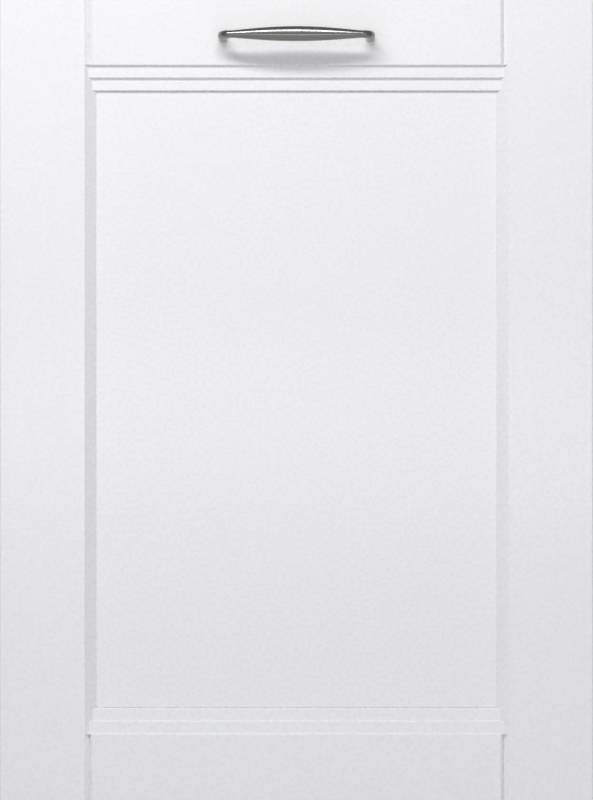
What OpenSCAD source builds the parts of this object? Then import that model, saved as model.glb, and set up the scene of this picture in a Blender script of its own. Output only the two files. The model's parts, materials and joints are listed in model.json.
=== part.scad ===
// Built-in dishwasher with a framed door panel, drawn with the door closed.
// Millimetres, +Z up, front towards -Y, origin on the floor under the middle of the appliance.

/* [Overall] */
// Width of the cabinet door panel
panel_w = 598; // [560:1:640]
// Height of the cabinet door panel
panel_h = 807; // [760:1:860]
// Thickness of the cabinet door panel
panel_t = 20; // [18:0.5:24]
// Clear height from the floor to the bottom of the panel
toe_h = 62; // [56:1:80]
// Height of the counter brackets above the panel
counter_gap = 3; // [2:1:12]
// Width of the frame behind the panel
body_w = 588; // [580:1:600]
// Depth from the front of the panel to the rear of the frame
body_d = 570; // [550:1:640]

/* [Door panel] */
// Flat width of each upright stile
stile_w = 86; // [60:1:110]
// Flat height of the top rail
top_rail_h = 66.5; // [50:0.5:90]
// Flat height of the bottom rail
bottom_rail_h = 67.5; // [50:0.5:90]
// Depth of the centre panel behind the frame's face
recess = 10; // [6:0.5:12]
// Width of the sloped inner edge of a stile
slope_w = 11; // [8:0.5:14]
// Height of each step in the rail moulding
step_h = 12.5; // [9:0.5:16]
// Radius on the outer front edges
edge_r = 3; // [1:0.5:4]

/* [Handle] */
// Distance between the handle's fixing screws
handle_cc = 148; // [96:1:192]
// Height of the handle bar at its middle
handle_mid_h = 15; // [11:0.5:18]
// Height of the handle bar at its ends
handle_end_h = 7.6; // [6:0.2:9]
// Distance the handle stands out from the panel
handle_proj = 35; // [28:1:45]
// Distance of the handle's screws below the top of the panel
handle_down = 39.5; // [25:1:45]

/* [Door] */
// Distance of the hinge axis behind the panel
hinge_back = 30; // [28:1:36]
// Height of the hinge axis above the bottom of the panel
hinge_up = 63; // [55:1:75]
// Distance of the inner door face behind the hinge axis
liner_back = 14; // [12:1:18]
// Thickness of the door's sheet steel
sheet = 1; // [0.8:0.1:1.5]
// Radius of the hinge pin
pin_r = 5; // [4:0.5:6]

/* [Tub] */
// Inner width of the tub
tub_w = 550; // [520:1:552]
// Wall thickness of the tub
tub_t = 1.2; // [1:0.1:2]
// Space for the door seal between door and tub
seal_gap = 6; // [5:0.5:8]
// Height of the wheel ledges above the tub floor
ledge_h = 10; // [8:0.5:14]
// Space above the tub
top_space = 27; // [20:1:40]
// Space behind the tub
rear_space = 16; // [12:1:30]

/* [Racks] */
// Depth of the racks
rack_d = 440; // [400:1:440]
// Half width of the lower rack
lower_half_w = 245; // [230:1:246]
// Height of the lower rack's sides
lower_side_h = 150; // [100:1:170]
// Half width of the upper rack
upper_half_w = 236; // [220:1:240]
// Height of the upper rack's sides
upper_side_h = 100; // [80:1:110]
// Radius of a rack wheel
wheel_r = 18; // [14:1:18]
// Radius of the racks' rim wires
rim_r = 2.5; // [2:0.1:3]
// Radius of the racks' fill wires
fill_r = 1.6; // [1.2:0.1:2]
// Width of each telescopic rail member
rail_w = 5; // [4:0.5:7]

/* [Wash system] */
// Clearance around the circle that the lower spray arm sweeps
arm_clear = 4; // [3:1:40]
// Radius of the sump
sump_r = 116; // [90:1:120]
// Radius of the round filter
filter_r = 42; // [30:1:46]
// Radius of the water pipe
pipe_r = 8; // [6:0.5:10]

/* [Fits] */
// Radial clearance of a running fit
run_fit = 0.05; // [0.02:0.01:0.1]
// Gap between parts that slide past each other
slide_gap = 0.4; // [0.3:0.1:0.8]
// Gap between crossing wires
wire_gap = 0.02; // [0.01:0.01:0.05]

/* [Hidden] */
$fn = 48;

// Colours
c_panel = "#f1f2f4";
c_nickel = "#9b9c9b";
c_steel = "#c3c6c8";
c_zinc = "#a9adb0";
c_dark = "#3b3e42";
c_grey = "#8a8f94";
c_blue = "#6f8fae";
c_black = "#1d1e20";

// Main planes, measured from the front of the panel (y) and the floor (z)
front_y = (handle_proj - body_d) / 2;
pivot_y = panel_t + hinge_back;
pivot_z = toe_h + hinge_up;
liner_y = pivot_y + liner_back;
ledge_z = pivot_z + liner_back;
panel_top = toe_h + panel_h;
door_top = panel_top - 2;
top_z = panel_top + counter_gap;
frame_half = body_w / 2;
door_half = panel_w / 2 - 4;
flange_y = liner_y + seal_gap;
tub_half = tub_w / 2;
tub_front = flange_y + tub_t;
tub_rear = body_d - rear_space - tub_t;
tub_top = top_z - top_space;
floor_z = ledge_z - ledge_h;
ledge_w = 40;
notch_top = ledge_z + 40;
sweep_r = norm([pivot_y, hinge_up]);
toe_y = pivot_y + sweep_r + 4;
base_front = toe_y + 6;
base_rear = body_d;
base_half = tub_half + 6;
base_wall = 5;
base_z = 10;

// Wash system places
arm_y = (tub_front + tub_rear) / 2;
arm_z = ledge_z + 13;
arm_t = 14;
sump_y = arm_y - 27;
filter_y = arm_y - 77;
pipe_y = tub_rear - pipe_r - 2;
arm_r = min(pipe_y - pipe_r - arm_y, tub_half - 24) - arm_clear;
hub_r = 20;

// Rack places
rack_front = tub_front + 13;
rack_rear = rack_front + rack_d;
lower_z = ledge_z + 37;
lower_top = lower_z + lower_side_h;
wheel_x = tub_half - 19;
wheel_w = 10;
wheel_front_y = rack_front + 97;
wheel_rear_y = rack_rear - 45;
axle_z = ledge_z + wheel_r + 0.3;
axle_r = 3.2;
upper_z = ledge_z + 366;
upper_top = upper_z + upper_side_h;
rail_z = upper_z + 58;
rail_h = 24;
tray_z = tub_top - 92;
tray_h = 36;

// Door places
fascia_h = 30;
fascia_z = door_top - fascia_h;
button_r = 6;
button_travel = 1.5;
button_y = panel_t + 22;
window_half = 60;
window_depth = 9;
disp_z = ledge_z + 208;
disp_h = 116;
disp_half = 108;
lid_w = 96;
lid_h = 74;
lid_x = -44;
lid_t = 3;
lid_axis_z = disp_z + 20;
lid_axis_y = liner_y + 5;
cap_x = 62;
cap_z = disp_z + disp_h / 2;
cap_r = 17;

module place() translate([0, front_y, 0]) children();
module both_sides() {
  children();
  mirror([1, 0, 0]) children();
}
module box(x0, x1, y0, y1, z0, z1) translate([x0, y0, z0]) cube([x1 - x0, y1 - y0, z1 - z0]);
module rod_x(x0, x1, y, z, r) translate([x0, y, z]) rotate([0, 90, 0]) cylinder(h = x1 - x0, r = r);
module rod_y(x, y0, y1, z, r) translate([x, y0, z]) rotate([-90, 0, 0]) cylinder(h = y1 - y0, r = r);
module rod_z(x, y, z0, z1, r) translate([x, y, z0]) cylinder(h = z1 - z0, r = r);
// Extrudes an outline of [y, z] points along x
module along_x(x0, x1) translate([x0, 0, 0]) rotate([90, 0, 90]) linear_extrude(x1 - x0) children();

// ---------- Door panel ----------
arc_steps = 5;
function round_edge(cx, cy, a0) = [for (i = [0:arc_steps])
  [cx + edge_r * cos(a0 + 90 * i / arc_steps), cy + edge_r * sin(a0 + 90 * i / arc_steps)]];

// Left stile: plan outline run up the full height
module stile() {
  inner = -panel_w / 2 + stile_w;
  outline = concat(round_edge(-panel_w / 2 + edge_r, edge_r, 180),
    [[inner, 0], [inner + slope_w, recess], [inner + slope_w, panel_t], [-panel_w / 2, panel_t]]);
  translate([0, 0, toe_h]) linear_extrude(panel_h) polygon(outline);
}
// Stepped moulding seen from the side: three risers go from the face down to the centre panel
riser_run = 1;
riser = recess / 3;
function steps(from, way) = [for (i = [0:2], k = [0:1])
  [riser * (i + k), from + way * (i * step_h + k * riser_run)]];
module rail(edge, way, flat_h) {
  from = edge - way * flat_h;
  end_z = from - way * (2 * step_h + riser_run);
  start = panel_w / 2 - stile_w;
  groove = slope_w / 2;
  bevel = 2.5;
  difference() {
    union() {
      // Face of the rail, with a small bevel at each end that makes the V joint
      intersection() {
        along_x(-start, start)
          polygon([[0, edge], [panel_t, edge], [panel_t, from], [riser, from - way * riser_run], [0, from]]);
        linear_extrude(top_z) polygon([
          [-start + groove, panel_t], [-start + groove, bevel], [-start + groove + bevel, 0],
          [start - groove - bevel, 0], [start - groove, bevel], [start - groove, panel_t]]);
      }
      along_x(-start, start) polygon(concat(steps(from, -way), [[panel_t, end_z], [panel_t, from]]));
      along_x(-start, start) polygon([[recess, edge], [panel_t, edge], [panel_t, from], [recess, from]]);
    }
    both_sides() stile();
  }
}
screw_x = panel_w / 2 - 28;
screw_zs = [toe_h + 150, toe_h + panel_h / 2, panel_top - 150];
screw_r = 2;
screw_head_r = 4.5;
pilot = 12;
// Stile with the pilot holes of its fixing screws
module drilled_stile() difference() {
  stile();
  for (z = screw_zs) rod_y(-screw_x, panel_t - pilot, panel_t + 1, z, screw_r + run_fit);
}
module panel_left_stile() place() color(c_panel) drilled_stile();
module panel_right_stile() place() color(c_panel) mirror([1, 0, 0]) drilled_stile();
module panel_top_rail() place() color(c_panel) difference() {
  rail(panel_top, 1, top_rail_h);
  both_sides() rod_y(handle_cc / 2, -1, panel_t + 1, panel_top - handle_down, screw_r + 0.3);
}
module panel_bottom_rail() place() color(c_panel) rail(toe_h, -1, bottom_rail_h);
module panel_centre() place() color(c_panel) {
  half = panel_w / 2 - stile_w - slope_w;
  moulding = 2 * step_h + riser_run;
  box(-half, half, recess, panel_t - 2, toe_h + bottom_rail_h + moulding, panel_top - top_rail_h - moulding);
}

// ---------- Handle and fixings ----------
post_r = 4.6;
screw_depth = 15;
bar_r = handle_end_h / 2;
bar_y = -handle_proj + handle_mid_h / 2;
bar_points = 24;
function bar_radius(t) = bar_r + (handle_mid_h / 2 - bar_r) * pow(cos(90 * t), 1.2);
module handle() place() color(c_nickel) {
  half = handle_cc / 2;
  outline = concat([[0, -half]], [for (i = [-bar_points:bar_points]) [bar_radius(abs(i) / bar_points),
    half * i / bar_points]], [[0, half]]);
  zc = panel_top - handle_down;
  difference() {
    union() {
      translate([0, bar_y, zc]) rotate([0, 90, 0]) rotate_extrude() polygon(outline);
      both_sides() {
        rod_y(half, bar_y, 0, zc, post_r);
        translate([half, bar_y, zc]) sphere(post_r);
      }
    }
    both_sides() rod_y(half, -screw_depth - 1, 1, zc, screw_r);
  }
}
module panel_screws() place() color(c_zinc) {
  both_sides() {
    rod_y(handle_cc / 2, -screw_depth, panel_t, panel_top - handle_down, screw_r - run_fit);
    rod_y(handle_cc / 2, panel_t, panel_t + 2.4, panel_top - handle_down, screw_head_r);
    for (z = screw_zs) {
      rod_y(screw_x, panel_t - pilot, panel_t + sheet, z, screw_r);
      rod_y(screw_x, panel_t + sheet, panel_t + sheet + 2.2, z, screw_head_r);
    }
  }
}

// ---------- Door ----------
door_z0 = pivot_z - 10;
frame_back = liner_y - 4;
module door_frame() place() color(c_zinc) difference() {
  union() {
    box(-door_half, door_half, panel_t, panel_t + sheet, door_z0, fascia_z - 1);
    both_sides() box(door_half - sheet, door_half, panel_t, frame_back, door_z0, fascia_z - 1);
    box(-base_half + 1, base_half - 1, panel_t, panel_t + 16, door_z0, door_z0 + sheet);
  }
  both_sides() for (z = screw_zs) rod_y(screw_x, panel_t - 1, panel_t + 3, z, screw_r + run_fit);
  handle_screw_room();
}
// Room for the heads of the handle's screws
module handle_screw_room() both_sides()
  rod_y(handle_cc / 2, panel_t - 1, panel_t + 4, panel_top - handle_down, screw_head_r + 1);
module door_insulation() place() color(c_dark)
  box(-door_half + 40, door_half - 40, panel_t + sheet, panel_t + sheet + 9, pivot_z + 15, fascia_z - 16);
module door_liner() place() color(c_steel) difference() {
  union() {
    box(-door_half + 2, door_half - 2, liner_y - sheet, liner_y, notch_top, fascia_z - 1);
    box(-base_half + 12, base_half - 12, liner_y - sheet, liner_y, pivot_z + 1, notch_top);
    both_sides() box(door_half - 3.5, door_half - 2, frame_back - 14, liner_y - sheet, arm_top + 2, fascia_z - 1);
  }
  box(-disp_half, disp_half, liner_y - 5, liner_y + 5, disp_z, disp_z + disp_h);
}
module control_fascia() place() color(c_dark) difference() {
  box(-door_half, door_half, panel_t, liner_y, fascia_z, door_top);
  box(-door_half + 3, door_half - 3, panel_t + 3, liner_y - 3, fascia_z - 1, door_top - 3);
  for (x = button_xs) rod_z(x, button_y, door_top - 5, door_top + 1, button_r + 0.3);
  box(-window_half, window_half, button_y - window_depth, button_y + window_depth, door_top - 1.2, door_top + 1);
  box(-window_half + 12, window_half - 12, button_y - 6, button_y + 6, door_top - 5, door_top + 1);
  box(-latch_half, latch_half, liner_y - 12, liner_y + 1, fascia_z - 1, door_top + 1);
  handle_screw_room();
}
button_xs = [-230, -175, 230];
module button(x) place() {
  rod_z(x, button_y, door_top - 6.5, door_top + 0.6, button_r);
  rod_z(x, button_y, door_top - 8, door_top - 6.5, button_r + 2);
}
module power_button() color(c_steel) button(button_xs[0]);
module programme_button() color(c_steel) button(button_xs[1]);
module start_button() color(c_steel) button(button_xs[2]);
module display_window() place() color(c_black)
  box(-window_half + run_fit, window_half - run_fit, button_y - window_depth + run_fit,
    button_y + window_depth - run_fit, door_top - 1.2, door_top);
board_z = door_top - 15;
module control_board() place() color("#2f6b4a") {
  box(-door_half + 20, door_half - 20, panel_t + 5, liner_y - 15, board_z, board_z + 1.6);
  for (x = button_xs) box(x - 3, x + 3, button_y - 3, button_y + 3, board_z + 1.6, board_z + 4.6);
  box(-50, 50, button_y - 8, button_y + 8, board_z + 1.6, board_z + 6);
  box(90, 130, button_y - 10, button_y + 8, board_z - 9, board_z);
}
latch_half = 26;
striker_z = door_top - 4;
nose_z = striker_z - 1.4;
module latch_housing() place() color(c_black) difference() {
  box(-latch_half + 0.3, latch_half - 0.3, liner_y - 12, liner_y, fascia_z, door_top);
  box(-11, 11, liner_y - 8, liner_y + 1, door_top - 16, door_top + 1);
  rod_x(-18, 18, liner_y - 4.5, door_top - 11, 1.5 + run_fit);
}
// Sprung cam that rides under the striker
module latch_lever() place() color(c_steel) {
  rod_x(-17, 17, liner_y - 4.5, door_top - 11, 1.5);
  box(-9, 9, liner_y - 6.5, liner_y - 2.5, door_top - 13, nose_z - 3);
  box(-9, 9, liner_y - 6.5, flange_y - 3.6, nose_z - 3, nose_z);
}

// ---------- Dispenser ----------
cup_depth = 26;
module dispenser_body() place() color(c_grey) difference() {
  union() {
    box(-disp_half + 0.5, disp_half - 0.5, liner_y - 30, liner_y, disp_z + 0.5, disp_z + disp_h - 0.5);
    box(-disp_half - 6, disp_half + 6, liner_y, liner_y + 1.6, disp_z - 6, disp_z + disp_h + 6);
    // Ears that carry the lid's pin
    for (x = [lid_x - lid_w / 2 - 6, lid_x + lid_w / 2 + 2])
      box(x, x + 4, liner_y, lid_axis_y + 3, lid_axis_z - 3, lid_axis_z + 3);
  }
  box(lid_x - 40, lid_x + 40, liner_y + 2 - cup_depth, liner_y + 5, lid_axis_z + 8, lid_axis_z + 66);
  rod_y(cap_x, liner_y - 14, liner_y + 5, cap_z, cap_r - 4);
  rod_x(lid_x - lid_w / 2 - 7, lid_x + lid_w / 2 + 7, lid_axis_y, lid_axis_z, 1.5 + run_fit);
}
module dispenser_lid() place() color("#a7abae") {
  rod_x(lid_x - lid_w / 2 - 5.5, lid_x + lid_w / 2 + 5.5, lid_axis_y, lid_axis_z, 1.5);
  box(lid_x - lid_w / 2 + 1, lid_x + lid_w / 2 - 1, lid_axis_y - 2, lid_axis_y + 2, lid_axis_z - 2,
    lid_axis_z + 4);
  box(lid_x - lid_w / 2 + 1, lid_x + lid_w / 2 - 1, lid_axis_y - lid_t, lid_axis_y, lid_axis_z + 4,
    lid_axis_z + lid_h);
}
module rinse_aid_cap() place() color(c_dark) {
  rod_y(cap_x, liner_y - 10, liner_y + 1.6 + slide_gap, cap_z, cap_r - 4.4);
  rod_y(cap_x, liner_y + 1.6 + slide_gap, liner_y + 5, cap_z, cap_r);
  box(cap_x - cap_r + 3, cap_x + cap_r - 3, liner_y + 5, liner_y + 9, cap_z - 2, cap_z + 2);
}

// ---------- Hinges ----------
bracket_in = base_half;
bracket_t = 3;
arm_in = bracket_in + bracket_t + slide_gap + 3;
arm_top = pivot_z + 130;
module hinge_arms() place() color(c_zinc) both_sides() difference() {
  union() {
    box(arm_in, door_half - sheet, pivot_y - 9, pivot_y + 7, pivot_z, arm_top);
    rod_x(arm_in, door_half - sheet, pivot_y, pivot_z, 9);
  }
  rod_x(arm_in - 1, door_half, pivot_y, pivot_z, pin_r + run_fit);
}
module hinge_brackets() place() color(c_zinc) both_sides() {
  box(bracket_in, bracket_in + bracket_t, pivot_y - 6, base_front + 90, pivot_z - 20, ledge_z - 3);
  rod_x(bracket_in + bracket_t, door_half - sheet - 0.5, pivot_y, pivot_z, pin_r);
}
module door_bottom_seal() place() color(c_black)
  box(-base_half + 14, base_half - 14, liner_y - sheet - 6, liner_y - sheet, pivot_z + 1, pivot_z + 9);
spring_r = 5;
spring_x = bracket_in + bracket_t + spring_r + 0.6;
module door_springs() place() color(c_steel) both_sides() difference() {
  union() {
    rod_y(spring_x, base_front + 30, base_front + 170, pivot_z - 50, spring_r);
    rod_y(spring_x, base_front + 12, base_front + 200, pivot_z - 50, 1.5);
  }
  rod_y(spring_x, base_front + 31, base_front + 169, pivot_z - 50, 0.6);
}

// ---------- Tub ----------
module tub() place() color(c_steel) difference() {
  union() {
    box(-tub_half - tub_t, tub_half + tub_t, flange_y, tub_rear + tub_t, floor_z - tub_t, tub_top + tub_t);
    box(-frame_half, frame_half, flange_y, tub_front, notch_top, top_z - counter_t);
    box(-base_half, base_half, liner_y + 2, flange_y, ledge_z - 2, ledge_z);
  }
  box(-tub_half, tub_half, flange_y - 1, tub_rear, ledge_z, tub_top);
  box(-tub_half + ledge_w, tub_half - ledge_w, tub_front, tub_rear, floor_z, ledge_z + 1);
  both_sides() box(tub_half - ledge_w + tub_t, tub_half + tub_t + 1, liner_y, tub_rear + tub_t + 1,
    floor_z - tub_t - 1, ledge_z - tub_t);
  rod_z(0, sump_y, floor_z - 5, floor_z + 1, sump_r + 1);
}
module door_gasket() place() color(c_black) {
  seal_in = tub_half + 3;
  both_sides() box(seal_in, seal_in + 10, liner_y + slide_gap, flange_y, notch_top + 2, tub_top + 3);
  box(-seal_in - 10, seal_in + 10, liner_y + slide_gap, flange_y, tub_top + 3.2, tub_top + 10.5);
}
module insulation_blanket() place() color("#2b2c2e") {
  both_sides() box(tub_half + tub_t + 0.5, frame_half - 2, tub_front + 12, tub_rear, notch_top, tub_top + 2);
  box(-tub_half, tub_half, tub_front + 12, tub_rear, tub_top + tub_t + 0.5, tub_top + tub_t + 12);
}
// Two folded posts and two cross bars behind the tub
brace_t = 1.5;
brace_w = 36;
brace_top = tub_top - 4;
module rear_brace() place() color(c_zinc) {
  post = tub_half - brace_w;
  both_sides() {
    box(post, tub_half, base_rear - brace_t, base_rear, ledge_z, brace_top);
    box(tub_half - brace_t, tub_half, tub_rear + tub_t, base_rear - brace_t - wire_gap, ledge_z, brace_top);
  }
  for (z = [brace_top - brace_w, (ledge_z + brace_top) / 2])
    box(-post + wire_gap, post - wire_gap, base_rear - brace_t, base_rear, z, z + brace_w);
}
bracket_x = frame_half - 45;
counter_t = 2;
module counter_brackets() place() color(c_zinc) both_sides() difference() {
  union() {
    box(bracket_x - 18, bracket_x + 18, tub_front, tub_front + counter_t, top_z - 14, top_z);
    box(bracket_x - 18, bracket_x + 18, tub_front, tub_front + 50, top_z - counter_t, top_z);
  }
  rod_z(bracket_x, tub_front + 30, top_z - 5, top_z + 1, 2.5);
}
module latch_striker() place() color(c_steel) {
  box(-16, 16, flange_y - 2, flange_y, striker_z - 3, striker_z + 3);
  both_sides() box(11.5, 14, liner_y + 1, flange_y - 2, striker_z - 3, striker_z + 3);
  box(-14, 14, liner_y + 0.6, liner_y + 2.6, striker_z, striker_z + 3);
}

// ---------- Base ----------
module base_pan() place() color("#44484c") difference() {
  box(-base_half, base_half, base_front, base_rear, base_z, ledge_z - tub_t);
  box(-base_half + base_wall, base_half - base_wall, base_front + base_wall, base_rear - base_wall,
    base_z + 3, ledge_z);
  box(-base_half - 1, base_half + 1, base_front - 1, base_front + base_wall + 1, base_z + 40, ledge_z);
  box(-base_half + base_wall, base_half - base_wall, base_rear - base_wall - 1, base_rear + 1,
    floor_z - tub_t - 1, ledge_z);
  // Openings in the rear wall for the drain hose, the fill hose and the cable
  box(-base_half + 25, drain_x + 26, base_rear - base_wall - 1, base_rear + 1, base_z + 6, pump_z + 14);
  box(box_x - 10, box_x + 36, base_rear - base_wall - 1, base_rear + 1, base_z + 6, base_z + 56);
  for (p = foot_places) rod_z(p[0], p[1], base_z - 1, base_z + 4, stud_r + 0.3);
}
module toe_kick() place() color(c_black) difference() {
  box(-frame_half + 2, frame_half - 2, toe_y, base_front + 8, 8, toe_h + 38);
  box(-frame_half + 3.5, frame_half - 3.5, toe_y + 1.5, base_front + 9, 7, toe_h + 39);
}
foot_r = 17;
pad_h = 7;
stud_r = 5;
foot_places = [[-base_half + 30, base_front + 40], [base_half - 30, base_front + 40], [0, base_rear - 40]];
foot_travel = 24;
module foot(p) place() {
  rod_z(p[0], p[1], 0, pad_h, foot_r);
  rod_z(p[0], p[1], pad_h, base_z + 3 + foot_travel, stud_r);
}
module foot_front_left() color(c_grey) foot(foot_places[0]);
module foot_front_right() color(c_grey) foot(foot_places[1]);
module foot_rear() color(c_grey) foot(foot_places[2]);

// ---------- Wash system ----------
sump_wall = 3;
sump_top = floor_z - tub_t;
sump_z = toe_h - 2;
pump_z = sump_top - 36;
module sump() place() color(c_grey) difference() {
  union() {
    rod_z(0, sump_y, sump_z, sump_top, sump_r);
    rod_z(0, sump_y, sump_top - 3, sump_top, sump_r + 8);
  }
  difference() {
    rod_z(0, sump_y, sump_z + sump_wall, sump_top + 1, sump_r - sump_wall);
    rod_z(0, arm_y, sump_z, sump_top + 1, hub_r);
  }
  rod_z(0, arm_y, sump_z + 10, sump_top + 1, hub_r - 6);
}
// Hub post stands on the sump and carries the lower arm
module fine_filter() place() color(c_steel) difference() {
  union() {
    rod_z(0, sump_y, floor_z, floor_z + 1.5, sump_r + 7);
    rod_z(0, arm_y, floor_z + 1.5, arm_z - 1, hub_r);
    rod_z(0, arm_y, arm_z - 1, arm_z + arm_t + 4, 9);
  }
  rod_z(0, filter_y, floor_z - 1, floor_z + 3, filter_r + slide_gap);
  rod_z(0, arm_y, floor_z - 1, arm_z + arm_t - 2, 6);
}
module round_filter() place() color(c_blue) difference() {
  union() {
    rod_z(0, filter_y, sump_z + 14, floor_z + 1.5, filter_r - 2);
    rod_z(0, filter_y, floor_z + 1.5 + slide_gap, floor_z + 5, filter_r + 4);
    rod_z(0, filter_y, floor_z - 2, floor_z + 4, filter_r - 1);
    box(-filter_r + 8, filter_r - 8, filter_y - 3, filter_y + 3, floor_z + 5, arm_z - 4);
  }
  rod_z(0, filter_y, sump_z + 17, floor_z - 5, filter_r - 5);
}
module spray_arm(y, z, r, half_w, bore) {
  difference() {
    union() {
      box(-r + half_w, r - half_w, y - half_w, y + half_w, z, z + arm_t);
      rod_z(-r + half_w, y, z, z + arm_t, half_w);
      rod_z(r - half_w, y, z, z + arm_t, half_w);
      rod_z(0, y, z, z + arm_t, half_w + 9);
    }
    rod_z(0, y, z - 1, z + arm_t + 1, bore);
  }
}
module lower_spray_arm() place() color(c_grey) spray_arm(arm_y, arm_z, arm_r, 20, 9 + run_fit);
module heater() place() color(c_zinc) {
  rod_x(sump_r + 14, sump_r + 50, sump_y, pump_z, 32);
  rod_x(sump_r, sump_r + 14, sump_y, pump_z, 16);
}
module circulation_pump() place() color(c_dark) {
  rod_x(sump_r + 50, sump_r + 62, sump_y, pump_z, 34);
  rod_x(sump_r + 62, base_half - base_wall - 6, sump_y, pump_z, 29);
}
drain_x = -sump_r - 30;
module drain_pump() place() color(c_dark) {
  rod_x(-sump_r - 16, -sump_r, sump_y, pump_z - 8, 20);
  rod_x(-sump_r - 80, -sump_r - 16, sump_y, pump_z - 8, 26);
  rod_y(drain_x, sump_y + 20, sump_y + 28, pump_z - 8, 13);
  rod_y(drain_x, sump_y + 28, sump_y + 64, pump_z - 8, 10);
}
valve_x = -base_half + 60;
valve_y = base_front + 60;
thread_r = 13.2;
thread_l = 18;
module inlet_valve() place() color(c_grey) difference() {
  union() {
    box(valve_x - 20, valve_x + 20, valve_y - 16, valve_y + 20, base_z + 3, base_z + 44);
    rod_y(valve_x, valve_y + 20, valve_y + 20 + thread_l, base_z + 24, thread_r);
    rod_x(valve_x + 20, valve_x + 44, valve_y + 4, base_z + 28, 6);
  }
  rod_y(valve_x, valve_y + 22, valve_y + 21 + thread_l, base_z + 24, 9);
}
box_x = base_half - 62;
box_y = base_front + 50;
gland_r = 11.1;
module junction_box() place() color(c_zinc) difference() {
  box(box_x - 46, box_x + 46, box_y, box_y + 54, base_z + 3, base_z + 58);
  box(box_x - 44, box_x + 44, box_y + 2, box_y + 52, base_z + 5, base_z + 56);
  rod_y(box_x + 16, box_y + 51, box_y + 55, base_z + 32, gland_r);
}
module water_pipe() place() color(c_grey) {
  run_z = floor_z + pipe_r + 2;
  head_z = tub_top - pipe_r - 3;
  rod_y(0, arm_y + sump_r - 8, pipe_y - pipe_r - wire_gap, run_z, pipe_r);
  rod_z(0, pipe_y, run_z - pipe_r, head_z + pipe_r, pipe_r);
  rod_y(0, arm_y + 14, pipe_y - pipe_r - wire_gap, head_z, pipe_r);
  rod_z(0, arm_y, head_z - 18, head_z + 9, 14 - wire_gap);
}
module top_spray_head() place() color(c_grey) difference() {
  z = tub_top - pipe_r - 3 - 18;
  union() {
    rod_z(0, arm_y, z - 12, z - slide_gap, 42);
    rod_z(0, arm_y, z - 18, z - 12, 30);
  }
  rod_z(0, arm_y, z - 14, z + 1, 16);
}
float_x = -tub_half + ledge_w + 30;
float_y = tub_front + 40;
module float_bell() place() color(c_grey) {
  rod_z(float_x, float_y, floor_z + slide_gap, floor_z + 16, 15);
}

// ---------- Racks ----------
module rim(half_w, z, r) {
  end = half_w - r - wire_gap;
  for (y = [rack_front + r, rack_rear - r]) rod_x(-half_w, half_w, y, z, r);
  both_sides() rod_y(end, rack_front + 2 * r + wire_gap, rack_rear - 2 * r - wire_gap, z, r);
}
// Wire basket: two rims, a floor of crossing wires and upright wires between the rims
module basket(half_w, z0, z1, across, along, ups, side_ups) {
  long_z = z0 + rim_r + fill_r + wire_gap;
  cross_z = long_z - 2 * fill_r - wire_gap;
  inner = half_w - 2 * rim_r - 2 * wire_gap;
  rim(half_w, z0, rim_r);
  rim(half_w, z1, rim_r);
  for (i = [1:along]) rod_y(-inner + 2 * inner * i / (along + 1), rack_front, rack_rear, long_z, fill_r);
  for (i = [1:across]) rod_x(-inner, inner, rack_front + rack_d * i / (across + 1), cross_z, fill_r);
  for (i = [0:ups], y = [rack_front + rim_r, rack_rear - rim_r])
    rod_z(-half_w + 8 + (2 * half_w - 16) * i / ups, y, z0 + rim_r + wire_gap, z1 - rim_r - wire_gap, fill_r);
  both_sides() for (i = [1:side_ups])
    rod_z(half_w - rim_r - wire_gap, rack_front + rack_d * i / (side_ups + 1), z0 + rim_r + wire_gap,
      z1 - rim_r - wire_gap, fill_r);
}
module lower_rack() place() color(c_grey) {
  basket(lower_half_w, lower_z, lower_top, 6, 9, 5, 3);
  both_sides() for (y = [wheel_front_y, wheel_rear_y]) {
    hanger_x = lower_half_w + wire_gap;
    box(hanger_x, hanger_x + 4, y - 14, y + 14, axle_z - 8, lower_z + 10);
    rod_x(hanger_x + 4, wheel_x + wheel_w / 2 + 2, y, axle_z, axle_r);
  }
}
module wheel(side, y) place() color(c_grey) difference() {
  rod_x(side * wheel_x - wheel_w / 2, side * wheel_x + wheel_w / 2, y, axle_z, wheel_r);
  rod_x(side * wheel_x - wheel_w, side * wheel_x + wheel_w, y, axle_z, axle_r + run_fit);
}
module wheel_front_left() wheel(-1, wheel_front_y);
module wheel_front_right() wheel(1, wheel_front_y);
module wheel_rear_left() wheel(-1, wheel_rear_y);
module wheel_rear_right() wheel(1, wheel_rear_y);

tine_y = rack_front + rack_d * 0.62;
tine_rod_r = 2;
tine_z = lower_z + rim_r + 2 * fill_r + wire_gap + tine_rod_r + run_fit;
tine_h = 78;
tine_half = 170;
tine_count = 8;
module fold_down_tines() place() color(c_grey) {
  rod_x(-tine_half, tine_half, tine_y, tine_z, tine_rod_r);
  for (i = [0:tine_count - 1])
    rod_z(-tine_half + 10 + (2 * tine_half - 20) * i / (tine_count - 1), tine_y, tine_z + tine_rod_r + wire_gap,
      tine_z + tine_h, fill_r);
}
rail_x2 = tub_half - 2 * rail_w - 2 * slide_gap;
rail_x3 = rail_x2 - rail_w - slide_gap;
rail_front = tub_front + 8;
rail_rear = rail_front + 440;
module upper_rack() place() color(c_grey) {
  basket(upper_half_w, upper_z, upper_top, 5, 8, 5, 3);
  both_sides() {
    box(rail_x3, rail_x3 + rail_w, rail_front, rail_rear, rail_z - rail_h / 2, rail_z + rail_h / 2);
    for (y = [rack_front + 60, rack_rear - 60])
      box(upper_half_w + wire_gap, rail_x3, y - 12, y + 12, rail_z - 10, upper_top);
  }
}
module rail_slides() place() color(c_steel) both_sides()
  box(rail_x2, rail_x2 + rail_w, rail_front, rail_rear, rail_z - rail_h / 2 + 1, rail_z + rail_h / 2 - 1);
tray_half = tub_half - 14;
lip_z = tray_z + tray_h;
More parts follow.
